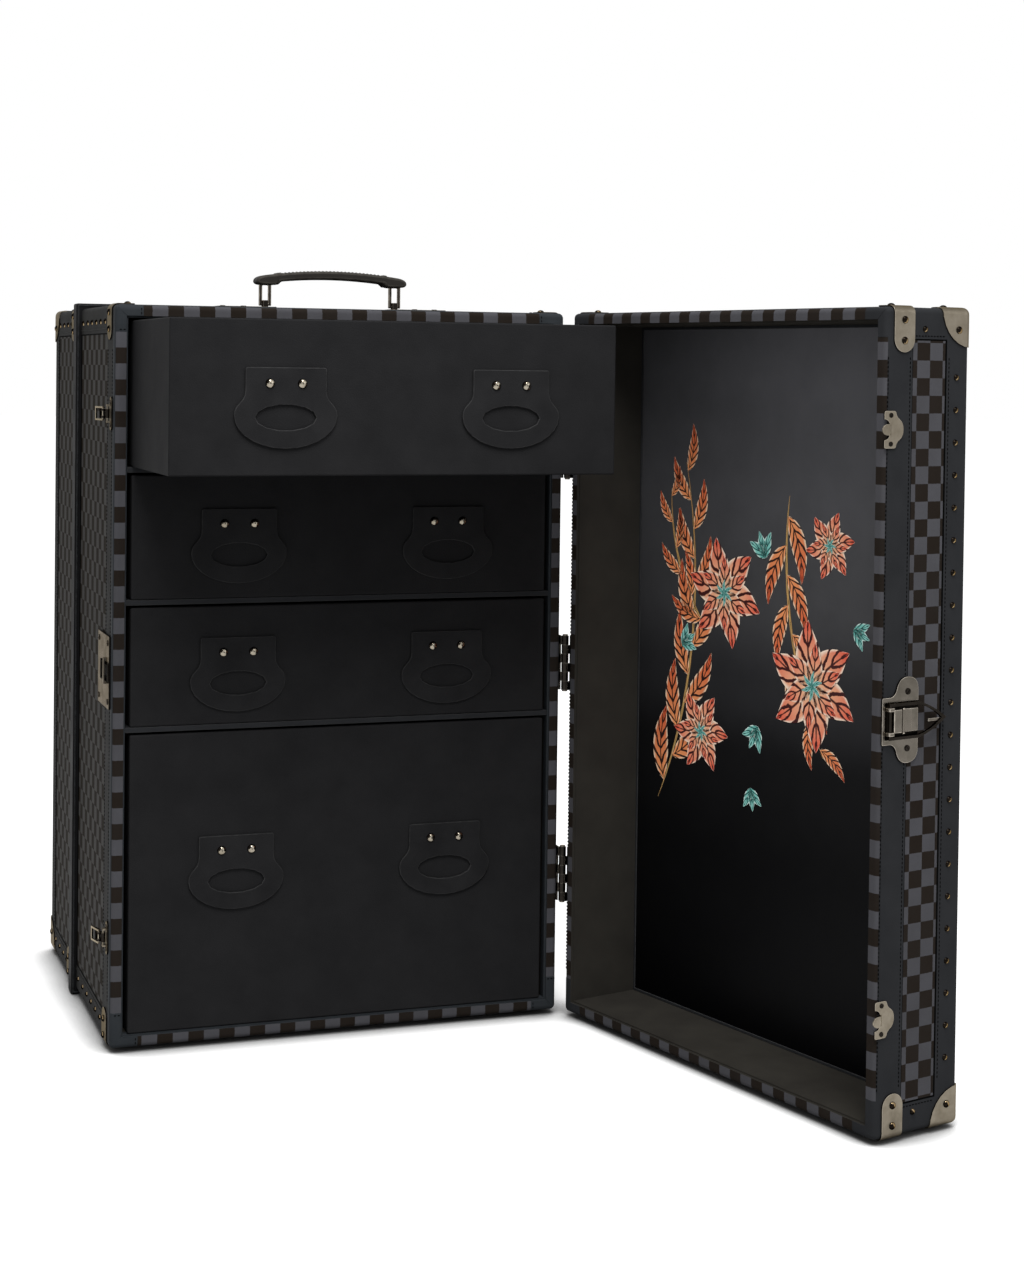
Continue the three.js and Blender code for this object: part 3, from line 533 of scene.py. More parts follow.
def onMouth(edge):
    # The two long edges of the mouth's rim, outside and inside
    a, b = (v.co for v in edge.verts)
    middle = (a + b) / 2
    return (min(a.y, b.y) > door["mouthY"] - doorLook["rimZone"] and any(isDoorRim(f) for f in edge.link_faces)
            and max(abs(middle.x) - innerHalf, middle.z - innerTop, trunk["wall"] - middle.z) > 0.5)


bm = copyOf("door_shell", "door")
cutRails(bm)
cutFields(bm, (mouthFieldY, outerFieldY), doorLook["faceBand"])
doorSide = (outerFieldY, mouthFieldY)
sinkFields(bm, fieldTest(doorSide, doorSide, doorLook["faceBand"], farY, doorLook["faceBand"], True))
for face in bm.faces:
    if isDoorRim(face):
        face.material_index = 1
    elif face.material_index == 0 and not outerBox(face, farY + outermost, 0.0):
        face.material_index = 2
raisePatches(bm, isDoorRim)
# The mouth's rounded rim is marked like any eased edge, so its paler colour is partly a painted highlight along the
# rim
roundEdges(bm, doorLook["rimRound"], 5, chosen=onMouth)
roundEdges(bm, carcass["ease"])
rimSquares, sideSquares = railSquares(rimPhase), squaresBy(doorPhase)
addSquares(bm, lambda f, co: rimSquares(f, co) if isDoorRim(f) else sideSquares(f, co))
makePiece("doorShell", bm, "bandLeather checkerCanvas liningCloth thread", "door", ["door_shell"])

# The door's panel is a dark satin print with fine vertical streaks. A painted reflection of soft light from the upper
# right makes its colour paler upwards and towards the free side
panelLook = {"stops": ((0.0, 5, 5, 6), (0.2, 15, 15, 16), (0.33, 24, 24, 25), (0.42, 48, 48, 50), (0.52, 72, 72, 74),
                       (0.66, 82, 82, 85), (0.78, 102, 102, 106), (0.9, 118, 118, 122)),
             "across": (-0.27, -0.62, 0.6, 1.0), "height": 0.9, "rough": (0.39, 0.47), "specular": 0.03,
             "grain": 1600.0, "depth": 0.00006, "streaks": (400.0, 400.0, 30.0)}
tree, sockets, place = startMaterial("panelPrintAndPaintedSheen")
skin = groupNode(tree, grain, place, panelLook["grain"])
streak = noiseNode(tree, vectorNode(tree, "MULTIPLY", place, panelLook["streaks"]), 1.0, 3.0)[0]
spot = addNode(tree, "SeparateXYZ", {"Vector": place}).outputs
# The ramp up the panel and the factor across it paint that reflection into the base colour
ramp = addNode(tree, "ValToRGB", {"Fac": rangeNode(tree, spot["Z"], 0.0, panelLook["height"])})
ramp.color_ramp.interpolation = "EASE"
stops = ramp.color_ramp.elements
first, *between, last = ((up / panelLook["height"], (*grey(*colour), 1.0)) for up, *colour in panelLook["stops"])
stops[0].color, stops[1].color = first[1], last[1]
for up, colour in between:
    stops.new(up).color = colour
share = mathNode(tree, "MULTIPLY", rangeNode(tree, spot["Y"], *panelLook["across"]),
                 rangeNode(tree, skin["Tone"], 0.0, 1.0, 0.92, 1.08))
gloss = mathNode(tree, "ADD", mathNode(tree, "MULTIPLY", skin["Tone"], 0.05), streak)
dress(tree, sockets, mixColour(tree, share, (0.0, 0.0, 0.0), ramp.outputs[0]),
      rangeNode(tree, gloss, 0.2, 0.85, *panelLook["rough"]), skin["Height"], panelLook["depth"], 0.5,
      panelLook["specular"])

bm = roundEdges(copyOf("door_panel", "door"), carcass["ease"])
makePiece("doorPanel", bm, "panelPrintAndPaintedSheen", "door", ["door_panel"])

# Flat frames round the panel and at the seam: half the width, the lower and upper end, then the depth where it
# starts, the bar's width, its thickness and easing
frames = [("panelTrim", "bandLeather", "door", innerHalf - 0.3, 15.3, innerTop - 0.3, door["panelY"] + 0.05, 3.2,
           1.3, 0.5),
          ("seamBead", "trimLeather", "trunk", half + 4.6, -3.1, height + 4.6, 12.25, 1.5, -0.8, 0.35)]
for name, finish, body, x, low, high, y, width, thick, ease in frames:
    bm = bmesh.new()
    upright = Matrix.Translation((0, y, (low + high) / 2)) @ Matrix.Rotation(math.pi / 2, 4, "X")
    bmesh.ops.create_grid(bm, x_segments=1, y_segments=1, size=1.0,
                          matrix=upright @ Matrix.Diagonal((x, (high - low) / 2, 1, 1)))
    middle = bm.faces[:]
    rim = inset(bm, middle, width)
    bmesh.ops.delete(bm, geom=middle, context="FACES_ONLY")
    extrude(bm, rim, (0, thick, 0))
    makePiece(name, roundEdges(bm, ease), finish, body)
print("door made")

# Shelves and drawers
shelves = ["shelf_1", "shelf_2", "shelf_3"]
makePiece("shelves", roundEdges(gather(shelves), 0.5), "bandLeather", "trunk", shelves)

drawers = {"outX": 250.0, "front": 9.9, "side": 6.9, "floor": 5.9, "top": 0.5, "edge": 1.2}
for number in (1, 2, 3, 4):
    low, high = (corner * 1000 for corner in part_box(f"drawer_{number}"))
    bm = copyOf(f"drawer_{number}")
    for face in bm.faces:
        c = mid(face)
        within = (abs(c.x) < drawers["outX"] - drawers["side"]
                  and low.y + drawers["front"] < c.y < high.y - drawers["side"]
                  and low.z + drawers["floor"] < c.z < high.z - drawers["top"])
        face.material_index = int(within)
    roundEdges(bm, drawers["edge"], 3, chosen=lambda e: all(f.material_index == 0 for f in e.link_faces))
    makePiece(f"drawer{number}", bm, "drawerLeather liningCloth", f"drawer_{number}",
              [f"drawer_{number}"])


# Small parts that are stamped many times
def domeRivet(radius, rise, steps, rings, highlightFrom):
    bm = bmesh.new()
    points = [bm.verts.new((radius * math.cos(angle), 0, rise * math.sin(angle)))
              for angle in (math.radians(90.0 * ring / (rings + 0.35)) for ring in range(rings + 1))]
    for a, b in zip(points, points[1:]):
        bm.edges.new((a, b))
    bmesh.ops.spin(bm, geom=bm.verts[:] + bm.edges[:], cent=(0, 0, 0), axis=(0, 0, 1), dvec=(0, 0, 0),
                   angle=math.tau, steps=steps, use_merge=True)
    bmesh.ops.holes_fill(bm, edges=[e for e in bm.edges if e.is_boundary], sides=0)
    faceOut(bm)
    # Faces on one side of the ring take the second metal as a painted highlight; the rest takes the first, a painted
    # dark reflection
    for face in bm.faces:
        side = face.normal.x * 0.86 - face.normal.y * 0.5
        face.material_index = int(side > highlightFrom and 0.2 < mid(face).z / rise < 0.97)
    return meshOf(bm)


def slottedScrew(radius, rise):
    bm = bmesh.new()
    bmesh.ops.create_circle(bm, cap_ends=True, segments=14, radius=radius)
    extrude(bm, bm.faces[:], (0, 0, rise))
    bevel(bm, [e for e in bm.edges if all(v.co.z > rise * 0.9 for v in e.verts)], rise * 0.55, 2)
    slotHalf = radius * 0.13
    sliceAt(bm, ("y", -slotHalf), ("y", slotHalf))
    slot = [f for f in bm.faces if f.normal.z > 0.9 and abs(mid(f).y) < slotHalf * 0.9]
    extrude(bm, slot, (0, 0, -rise * 0.5), slot)
    return meshOf(bm)


# A rivet is its radius, rise, steps, rings and the threshold of its painted highlight. Each dome is split into a
# painted dark reflection and a painted highlight on one side; the carcass's side is seen along its face, so its rivets
# take less of the painted highlight than the door's
sizes = {"plateRivet": (4.0, 2.6, 14, 4), "bandRivet": (3.3, 2.4, 12, 3), "stitch": (3.3, 1.35), "pitch": 4.4}
pullRivet = domeRivet(5.2, 3.2, 16, 4, -0.35)
plateRivet = {"trunk": domeRivet(*sizes["plateRivet"], 0.55), "door": domeRivet(*sizes["plateRivet"], 0.05)}
bandRivet = {"trunk": domeRivet(*sizes["bandRivet"], 0.75), "door": domeRivet(*sizes["bandRivet"], 0.05)}
screw, smallScrew = slottedScrew(3.4, 1.2), slottedScrew(2.6, 0.9)
bm = bmesh.new()
length, thick = sizes["stitch"]
bmesh.ops.create_icosphere(bm, subdivisions=1, radius=1.0,
                           matrix=Matrix.Diagonal((length / 2, thick / 2, thick / 2, 1)))
stitch = meshOf(bm)


def stitchRow(bm, start, end, normal):
    start, end = Vector(start), Vector(end)
    along = (end - start).normalized()
    count = max(1, round((end - start).length / sizes["pitch"]))
    turn = axesMatrix(along, Vector(normal).cross(along), normal)
    row = bmesh.new()
    for i in range(count):
        stamp(row, stitch, Matrix.Translation(start.lerp(end, (i + 0.5) / count)) @ turn)
    bm.from_mesh(meshOf(row))


# Leather pulls, each with two rivets
pulls = {"rivetDrop": 17.0, "rivetHalf": 17.5, "ease": 0.9}
for number in (1, 2, 3, 4):
    rivets = bmesh.new()
    for side in ("left", "right"):
        node = f"pull_{number}_{side}"
        low, high = (corner * 1000 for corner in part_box(node))
        bm = roundEdges(copyOf(node), pulls["ease"], 3)
        makePiece(f"pull{number}{side.title()}", bm, "pullLeather", f"drawer_{number}", [node])
        for step in (-1, 1):
            x = (low.x + high.x) / 2 + step * pulls["rivetHalf"]
            stamp(rivets, pullRivet, at(x, low.y + 0.05, high.z - pulls["rivetDrop"], (0, -1, 0)))
    makePiece(f"pullRivets{number}", rivets, "darkDome brightNickel", f"drawer_{number}")
print("drawers made")

# Metal fittings keep their solids' shape, with their edges eased and the thin walls of their plates painted dark as
# shade. Each row ends with the easing, the plate's thickness, and the names of its nodes
corners = ["left_lower", "left_upper", "right_lower", "right_upper"]
hinges, sides, catches = ["upper", "middle", "lower"], ["left", "right"], ["upper", "lower"]
fittings = [("rearCaps", "satinNickel", "trunk", 0.35, 1.2, "rear_cap_", corners),
            ("doorCaps", "satinNickel", "door", 0.35, 1.2, "door_cap_", corners),
            ("glides", "satinNickel", "trunk", 0.4, 0.0, "glide_", "1234"),
            ("cabinetLeaves", "blackNickel", "trunk", 0.35, 0.0, "hinge_leaf_cabinet_", hinges),
            ("doorLeaves", "blackNickel", "door", 0.35, 0.0, "hinge_leaf_door_", hinges),
            ("hingePins", "gunmetal", "trunk", 0.35, 0.0, "hinge_pin_", hinges),
            ("handleBases", "blackNickel", "trunk", 0.7, 0.0, "handle_base_", sides),
            ("handleLinks", "blackNickel", "handle", 1.0, 0.0, "handle_link_", sides),
            ("lockStrike", "gunmetal", "trunk", 0.4, 2.0, "lock_", ["strike"]),
            ("lockBail", "blackNickel", "bail", 0.7, 0.0, "lock_", ["bail"]),
            ("lockLever", "gunmetal", "lock_tongue", 0.6, 0.0, "lock_", ["lever"]),
            ("catchBases", "satinNickel", "trunk", 0.3, 1.6, "catch_base_", catches)]
for label, finish, stem, ease in (("Lever", "blackNickel", "catch_lever_", 0.5),
                                  ("Loop", "brightNickel", "catch_loop_", 0.6)):
    fittings += [("catch" + label + end.title(), finish, stem + end, ease, 0.0, stem, [end]) for end in catches]
for name, finish, body, ease, thick, stem, ends in fittings:
    members = [stem + end for end in ends]
    bm = gather(members, body)
    # Side walls as thick as the plate take the dark metal as painted shade
    for face in bm.faces:
        shortest = min(e.calc_length() for e in face.edges)
        if len(face.verts) == 4 and thick * 0.8 < shortest < thick * 1.1:
            face.material_index = 1
    makePiece(name, roundEdges(bm, ease, 2, 35.0), finish + " darkRim", body, members, 35.0)


# Plates of the lock and of the hooks, drawn as depth from the door's mouth and height
def quadratic(a, b, c, steps):
    a, b, c = Vector(a), Vector(b), Vector(c)
    return [a * (1 - t) ** 2 + b * 2 * t * (1 - t) + c * t * t for t in (i / steps for i in range(1, steps + 1))]


def curve(start, *legs):
    # A straight leg is its end point; a curved one is a control point, an end point and a number of steps
    points = [Vector(start)]
    for leg in legs:
        points += [Vector(leg)] if len(leg) == 2 else quadratic(points[-1], *leg)
    return points


def sidePlate(bm, upperHalf, level, low, high):
    outline = upperHalf + [Vector((p.x, -p.y)) for p in reversed(upperHalf) if abs(p.y) > 0.01]
    points = [bm.verts.new((-half - low, door["mouthY"] - p.x, level + p.y)) for p in outline]
    extrude(bm, [bm.faces.new(points)], (low - high, 0, 0))
    # The plate's side walls take the dark metal as painted shade
    for face in bm.faces:
        if abs(face.normal.x) < 0.5:
            face.material_index = 1


def easeTop(bm, high):
    roundEdges(bm, 0.5, chosen=lambda e: all(v.co.x < -half - high + 0.05 for v in e.verts))


def blockMesh(blocks, ease, segments=3):
    # Each block is its depth from the door's mouth, its height from the lock's middle and its reach from the side
    bm = bmesh.new()
    for deep, up, out in blocks:
        low = Vector((-half - out[1], door["mouthY"] - deep[1], lock["level"] + up[0]))
        high = Vector((-half - out[0], door["mouthY"] - deep[0], lock["level"] + up[1]))
        shape = Matrix.Translation((low + high) / 2) @ Matrix.Diagonal((*(high - low), 1))
        bmesh.ops.create_cube(bm, size=1.0, matrix=shape)
    return roundEdges(bm, ease, segments)


lock = {"level": 427.0, "plate": (0.3, 2.3), "recess": (4.0, 19.0, 0.9),
        "outline": ((0.0, 22.5), ((0.0, 24.0), (1.5, 24.0), 3), (11.0, 24.0), ((17.0, 24.5), (19.6, 31.0), 6),
                    ((22.5, 44.0), (35.0, 44.0), 8), ((50.0, 44.0), (50.0, 29.0), 8)),
        # The keeper, its step, two ears and two posts
        "blocks": [((13.0, 24.0), (-12.0, 12.0), (0.5, 6.3)), ((24.0, 48.5), (-12.0, 12.0), (0.5, 3.8)),
                   ((4.5, 11.5), (10.5, 14.5), (0.5, 8.6)), ((4.5, 11.5), (-14.5, -10.5), (0.5, 8.6)),
                   ((24.4, 27.6), (11.3, 13.3), (0.5, 7.3)), ((24.4, 27.6), (-13.3, -11.3), (0.5, 7.3))]}
bm = bmesh.new()
sidePlate(bm, curve(*lock["outline"]), lock["level"], *lock["plate"])
deep, tall, sunk = lock["recess"]
sliceAt(bm, ("z", lock["level"] - tall), ("z", lock["level"] + tall), ("y", door["mouthY"] - deep))
# The sunk recess in the plate's middle is painted dark as shade
hollow = [f for f in bm.faces if f.normal.x < -0.9 and abs(mid(f).z - lock["level"]) < tall
          and mid(f).y < door["mouthY"] - deep]
for face in hollow + inset(bm, hollow, 0.5, -sunk):
    face.material_index = 1
easeTop(bm, lock["plate"][1])
bm.from_mesh(meshOf(blockMesh(lock["blocks"], 0.9)))
makePiece("lockBase", bm, "gunmetal darkRim", "door", ["lock_base"], 35.0)

# Two bars and two rods over the strike, where the bail lands, and the clip on the bail
guard = {"bars": [((-62.0, -16.0), (7.4, 11.6), (2.1, 3.6)), ((-62.0, -16.0), (-11.6, -7.4), (2.1, 3.6))],
         "rods": [((-17.9, -14.1), (-11.6, 11.6), (2.1, 4.2)), ((-63.9, -60.1), (-11.6, 11.6), (2.1, 4.2))],
         "clip": [((61.0, 82.0), (-3.2, -0.4), (4.2, 5.6))]}
makePiece("strikeGuard", blockMesh(guard["bars"] + guard["rods"], 0.8), "darkRim", "trunk")
makePiece("bailClip", blockMesh(guard["clip"], 0.4, 2), "gunmetal", "bail")

hook = {"levels": (722.0, 124.0), "plate": (0.3, 1.9), "tongueHalf": 5.6, "steps": 14, "thick": 1.3,
        "lobe": ((-3.0, 10.5), (-3.0, 16.6), ((-3.0, 19.0), (-0.6, 19.0), 4), (10.0, 19.0),
                 ((13.2, 19.0), (13.7, 15.6), 5), ((14.4, 12.6), (18.4, 10.2), 5), ((23.4, 6.8), (23.4, 0.0), 7)),
        "notch": ((-3.0, 10.5), ((5.0, 10.4), (5.2, 0.0), 7)), "slot": ((1.0, 4.4), 3.6),
        "path": ((6.5, 1.9), ((4.5, 2.1), (1.0, 6.4), 7), ((-2.5, 6.5), (-9.5, 6.5), 7)), "tip": (-3.0, 6.5)}
path = curve(*hook["path"])
bm = bmesh.new()
for level in hook["levels"]:
    plate = bmesh.new()
    sidePlate(plate, curve(*hook["notch"])[:0:-1] + curve(*hook["lobe"]), level, *hook["plate"])
    easeTop(plate, hook["plate"][1])
    bm.from_mesh(meshOf(plate))
    tongue = bmesh.new()
    bmesh.ops.create_grid(tongue, x_segments=hook["steps"], y_segments=8, size=0.5)
    for v in tongue.verts:
        along = path[min(round((v.co.x + 0.5) * hook["steps"]), len(path) - 1)]
        tip = max(0.0, (hook["tip"][0] - along.x) / hook["tip"][1])
        across = v.co.y * 2 * hook["tongueHalf"] * math.sqrt(max(1.0 - tip * tip, 0.04))
        v.co = (-half - along.y, door["mouthY"] - along.x, level + across)
    (near, far), wide = hook["slot"]
    slot = [f for f in tongue.faces if near < door["mouthY"] - mid(f).y < far
            and abs(mid(f).z - level) < wide]
    bmesh.ops.delete(tongue, geom=slot, context="FACES")
    faceOut(tongue)
    bmesh.ops.solidify(tongue, geom=tongue.faces[:], thickness=hook["thick"])
    faceOut(tongue)
    bm.from_mesh(meshOf(roundEdges(tongue, 0.35, 2, 60.0)))
makePiece("hookPlates", bm, "satinNickel darkRim", "door", ["hook_plate_upper", "hook_plate_lower"], 40.0)
print("fittings made")

# Handle grip: an arched leather grip that tapers to a tip beyond each link, with a collar and stitching
grip = {"rise": 46.0, "thick": 9.8, "width": 24.0, "middleY": -159.0, "round": 3.0, "collar": (62.0, 68.0),
        "shoulder": (78.0, 40.5), "tip": (92.5, 33.0), "heel": (86.0, 28.6), "under": (64.0, 32.5), "stitchY": 8.2}
shoulder, tip, heel, under = (Vector(grip[key]) for key in ("shoulder", "tip", "heel", "under"))
crown = ((-shoulder.x, shoulder.y), (0.0, 2 * grip["rise"] - shoulder.y), shoulder)
crownUnder = (under, (0.0, 2 * (grip["rise"] - grip["thick"]) - under.y), (-under.x, under.y))
rightHalf = quadratic(*crown, 28)[13:-1]
rightHalf += curve(shoulder, ((tip.x, shoulder.y - 1.5), tip, 7), ((tip.x, heel.y + 0.5), heel, 6),
                   (74.0, heel.y - 0.4), ((67.0, heel.y - 0.4), under, 6))
rightHalf += quadratic(*crownUnder, 24)[:12]
outline = rightHalf + [Vector((-p.x, p.y)) for p in reversed(rightHalf) if abs(p.x) > 0.01]
bm = bmesh.new()
frontY = grip["middleY"] - grip["width"] / 2
side = bm.faces.new([bm.verts.new((p.x, frontY, height + p.y)) for p in outline])
extrude(bm, [side], (0, grip["width"], 0))
roundEdges(bm, grip["round"], 4, 60.0)
inner, outer = grip["collar"]
sliceAt(bm, *sidesAt(inner, outer))
for side in (-1, 1):
    inset(bm, [f for f in bm.faces if inner < side * mid(f).x < outer], 1.2, 1.0)
makePiece("handleGrip", bm, "gripLeather", "handle", ["handle_grip"], 55.0)

bm = bmesh.new()
arch = [Vector(crown[0])] + quadratic(*crown, 34)
for back in (-grip["stitchY"], grip["stitchY"]):
    for a, b in zip(arch, arch[1:]):
        top, slope = (a + b) / 2, (b - a).normalized()
        if abs(top.x) < inner - 3:
            turn = axesMatrix((slope.x, 0, slope.y), (0, -1, 0), (slope.y, 0, -slope.x))
            stamp(bm, stitch, Matrix.Translation((top.x, grip["middleY"] + back, height + top.y)) @ turn)
makePiece("gripStitches", bm, "thread", "handle")

# Metal strap plates over the edges at the joints, each with a round end and two rivets on the side
straps = {"width": 28.4, "over": 20.0, "thick": 1.4, "gap": 0.35, "corner": 6.0, "bends": 6, "topRivet": 19.0,
          "trunk": {"drop": 40.0, "rivets": (8.5, 27.5), "places": (-208.0, 70.0)},
          "door": {"drop": 46.0, "rivets": (13.0, 34.0), "places": (-265.4,)}}


def strapPlate(drop):
    # Drawn flat, with Y running up the side and on over the edge, then bent round it
    arc = (trunk["rounding"] + straps["gap"]) * math.pi / 2
    low = trunk["rounding"] - drop
    middle = (low + arc + straps["over"]) / 2
    wide = straps["width"] / 2
    shape = Matrix.Translation((0, middle, 0)) @ Matrix.Diagonal((wide, middle - low, 1, 1))
    bm = bmesh.new()
    bmesh.ops.create_grid(bm, x_segments=1, y_segments=1, size=1.0, matrix=shape)
    bevel(bm, [v for v in bm.verts if v.co.y < low + 0.1], wide * 0.97, 8, "VERTICES")
    bevel(bm, [v for v in bm.verts if v.co.y > middle], straps["corner"], 3, "VERTICES")
    extrude(bm, bm.faces[:], (0, 0, straps["thick"]))
    # The plate's side walls take the dark metal as painted shade
    for face in bm.faces:
        face.material_index = int(abs(face.normal.z) < 0.5)
    roundEdges(bm, 0.5, 2, 60.0, lambda e: all(v.co.z > straps["thick"] - 0.01 for v in e.verts))
    sliceAt(bm, *[("y", arc * step / straps["bends"]) for step in range(straps["bends"] + 1)])
    for v in bm.verts:
        across, s, t = v.co.x, v.co.y, v.co.z + straps["gap"]
        turn = min(max(s / arc, 0.0), 1.0) * math.pi / 2
        reach = trunk["rounding"] + t
        out = half - trunk["rounding"] + reach * math.cos(turn) - max(s - arc, 0.0)
        v.co = (-out, across, height - trunk["rounding"] + reach * math.sin(turn) + min(s, 0.0))
    return meshOf(bm)


for body in ("trunk", "door"):
    look = straps[body]
    plate = strapPlate(look["drop"])
    plates, rivets = bmesh.new(), bmesh.new()
    rise = straps["gap"] + straps["thick"] - 0.05
    for y in look["places"]:
        stampAround(plates, plate, Matrix.Translation((0, y, 0)))
        for drop in look["rivets"]:
            stampAround(rivets, plateRivet[body], at(-half - rise, y, height - drop, (-1, 0, 0)))
        stampAround(rivets, plateRivet[body], at(straps["topRivet"] - half, y, height + rise, (0, 0, 1)))
    for bm in (plates, rivets):
        faceOut(bm)
    makePiece(body + "Straps", plates, "satinNickel darkRim", body)
    makePiece(body + "StrapRivets", rivets, "darkDome agedBrass", body)

# Rivets of the caps and along the leather bands
capRivet = {"in": 17.0, "down": 22.0, "lift": 1.45}
bandRivets = {"pitch": 33.5, "down": 18.5, "doorDeep": 98.0, "first": 70.8, "count": 22, "doorTop": (53.0, 22.0),
              "backIn": 17.0, "deep": (68.6, 101.5, 134.1, 166.9, 199.3, 235.4, 331.0, 364.0, 398.0, 434.0)}
trunkRivets, doorRivets = bmesh.new(), bmesh.new()
endFaces = (("trunk", trunkRivets, trunk["backY"], 1.0), ("door", doorRivets, farY, -1.0))
for body, bm, y, outward in endFaces:
    inY, down, lift = y - outward * capRivet["in"], capRivet["down"], capRivet["lift"]
    stampAround(bm, plateRivet[body], at(-half - lift, inY, height - down, (-1, 0, 0)))
    stampAround(bm, plateRivet[body], at(down - half, inY, height + lift, (0, 0, 1)))
    stampAround(bm, plateRivet[body], at(down - half, y + outward * lift, height - down, (0, outward, 0)))
    for k in range(-6, 7):
        spot = at(k * bandRivets["pitch"], y, height - bandRivets["backIn"], (0, outward, 0))
        stampAround(bm, bandRivet["trunk"], spot, sides=(-1,))
for deep in bandRivets["deep"]:
    y = trunk["frontY"] + deep
    stampAround(trunkRivets, bandRivet["trunk"], at(-half, y, height - bandRivets["down"], (-1, 0, 0)))
    stampAround(trunkRivets, bandRivet["trunk"], at(bandRivets["down"] - half, y, height, (0, 0, 1)), levels=(1,))
deep, drop = bandRivets["doorTop"]
stampAround(doorRivets, bandRivet["door"], at(-half, door["mouthY"] - deep, height - drop, (-1, 0, 0)))
for k in range(bandRivets["count"]):
    up = height - bandRivets["first"] - (height - 2 * bandRivets["first"]) * k / (bandRivets["count"] - 1)
    spot = at(-half, door["mouthY"] - bandRivets["doorDeep"], up, (-1, 0, 0))
    stampAround(doorRivets, bandRivet["door"], spot, levels=(1,))
    for body, bm, y, outward in endFaces:
        spot = at(bandRivets["backIn"] - half, y, up, (0, outward, 0))
        stampAround(bm, bandRivet["trunk"], spot, levels=(1,))
for body, bm, y, outward in endFaces:
    faceOut(bm)
    makePiece(body + "Rivets", bm, "darkDome agedBrass", body)

# Screws of the hinges, strike, handle's pads, catches, hooks and lock: the plates' heights or the screws' depth, the
# lift from the side, and the places on a plate. Each slot is turned its own way
screws = {"hinge": ((680.0, 423.0, 166.0), 2.25, ((-229.0, -24.0), (-229.0, 24.0), (-215.0, 0.0))),
          "strike": ((-220.0, -160.0), 2.1, (-33.5, 33.5)), "pads": ((106.0, 131.0), 2.2),
          "catch": (-223.0, 1.8, (-13.0, 13.0)), "hook": (-248.0, 1.8, (-14.5, 14.5)),
          "lock": (-277.0, 2.2, (-29.0, 29.0))}
trunkScrews, doorScrews = bmesh.new(), bmesh.new()


def addScrew(bm, shape, x, y, z, out, turn):
    stamp(bm, shape, at(x, y, z, out) @ Matrix.Rotation(turn, 4, "Z"))


levels, lift, places = screws["hinge"]
for up in levels:
    for y, rise in places:
        addScrew(trunkScrews, screw, half + lift, y, up + rise, (1, 0, 0), rise + y)
        addScrew(doorScrews, screw, half + lift, 2 * hingePoint.y - y, up + rise, (1, 0, 0), rise + y)
depths, lift, places = screws["strike"]
for y in depths:
    for rise in places:
        turn = y - trunk["frontY"] + rise
        addScrew(trunkScrews, screw, -half - lift, y, lock["level"] + rise, (-1, 0, 0), turn)
places, lift = screws["pads"]
for x in places:
    for side in (-1, 1):
        addScrew(trunkScrews, screw, side * x, grip["middleY"], height + lift, (0, 0, 1), x)
for bm, key in ((trunkScrews, "catch"), (doorScrews, "hook")):
    y, lift, places = screws[key]
    for up in hook["levels"]:
        for rise in places:
            addScrew(bm, smallScrew, -half - lift, y, up + rise, (-1, 0, 0), rise + up)
y, lift, places = screws["lock"]
for rise in places:
    addScrew(doorScrews, screw, -half - lift, y, lock["level"] + rise, (-1, 0, 0), rise)
makePiece("trunkScrews", trunkScrews, "blackNickel", "trunk")
makePiece("doorScrews", doorScrews, "blackNickel", "door")

# Stitching along the bands: upright rows as depth and bare end, level rows near both ends, and the corner patches
trunkStitches, doorStitches = bmesh.new(), bmesh.new()
seams = {"trunk": ((-223.0, 50.0), (-193.0, 50.0), (rearFieldY - 3.0, 36.0), (backFieldY + 3.0, 36.0)),
         "door": ((-244.6, 50.0), (-275.0, 50.0), (-329.5, 50.0)), "in": 3.0, "level": 29.0, "endUp": 36.0,
         "endClear": 40.0, "patchIn": 2.5, "patchOut": 4.0, "patchHalf": 4.5}
endSeams = ((trunkStitches, trunk["backY"], 1, half - carcass["backBand"]),
            (doorStitches, farY, -1, half - doorLook["faceBand"]))


def uprightRow(bm, x, y, clear, normal):
    stitchRow(bm, (x, y, clear), (x, y, height - clear), normal)


for side in (-1, 1):
    for bm, rows in ((trunkStitches, seams["trunk"]), (doorStitches, seams["door"])):
        for y, clear in rows:
            uprightRow(bm, side * half, y, clear, (side, 0, 0))
    for up in (seams["level"], height - seams["level"]):
        stitchRow(doorStitches, (side * half, mouthFieldY - seams["in"], up),
                  (side * half, outerFieldY + seams["in"], up), (side, 0, 0))
    for bm, y, outward, fieldX in endSeams:
        uprightRow(bm, side * (fieldX + seams["in"]), y, seams["endUp"], (0, outward, 0))
    x = side * (half - patch["across"] + seams["patchIn"])
    for level, z in ((height, height - patch["upperLeg"] + seams["patchIn"]),
                     (0.0, patch["lowerLeg"] - seams["patchIn"])):
        stitchRow(trunkStitches, (side * (innerHalf + seams["patchIn"]), trunk["faceY"], z),
                  (side * (half - seams["patchOut"]), trunk["faceY"], z), (0, -1, 0))
        z = abs(level - trunk["wall"] / 2)
        stitchRow(trunkStitches, (x, trunk["faceY"], z - seams["patchHalf"]),
                  (x, trunk["faceY"], z + seams["patchHalf"]), (0, -1, 0))
for bm, y, outward, fieldX in endSeams:
    x = half - seams["endClear"]
    for up in (seams["level"], height - seams["level"]):
        stitchRow(bm, (-x, y, up), (x, y, up), (0, outward, 0))
makePiece("trunkStitches", trunkStitches, "thread", "trunk")
makePiece("doorStitches", doorStitches, "thread", "door")

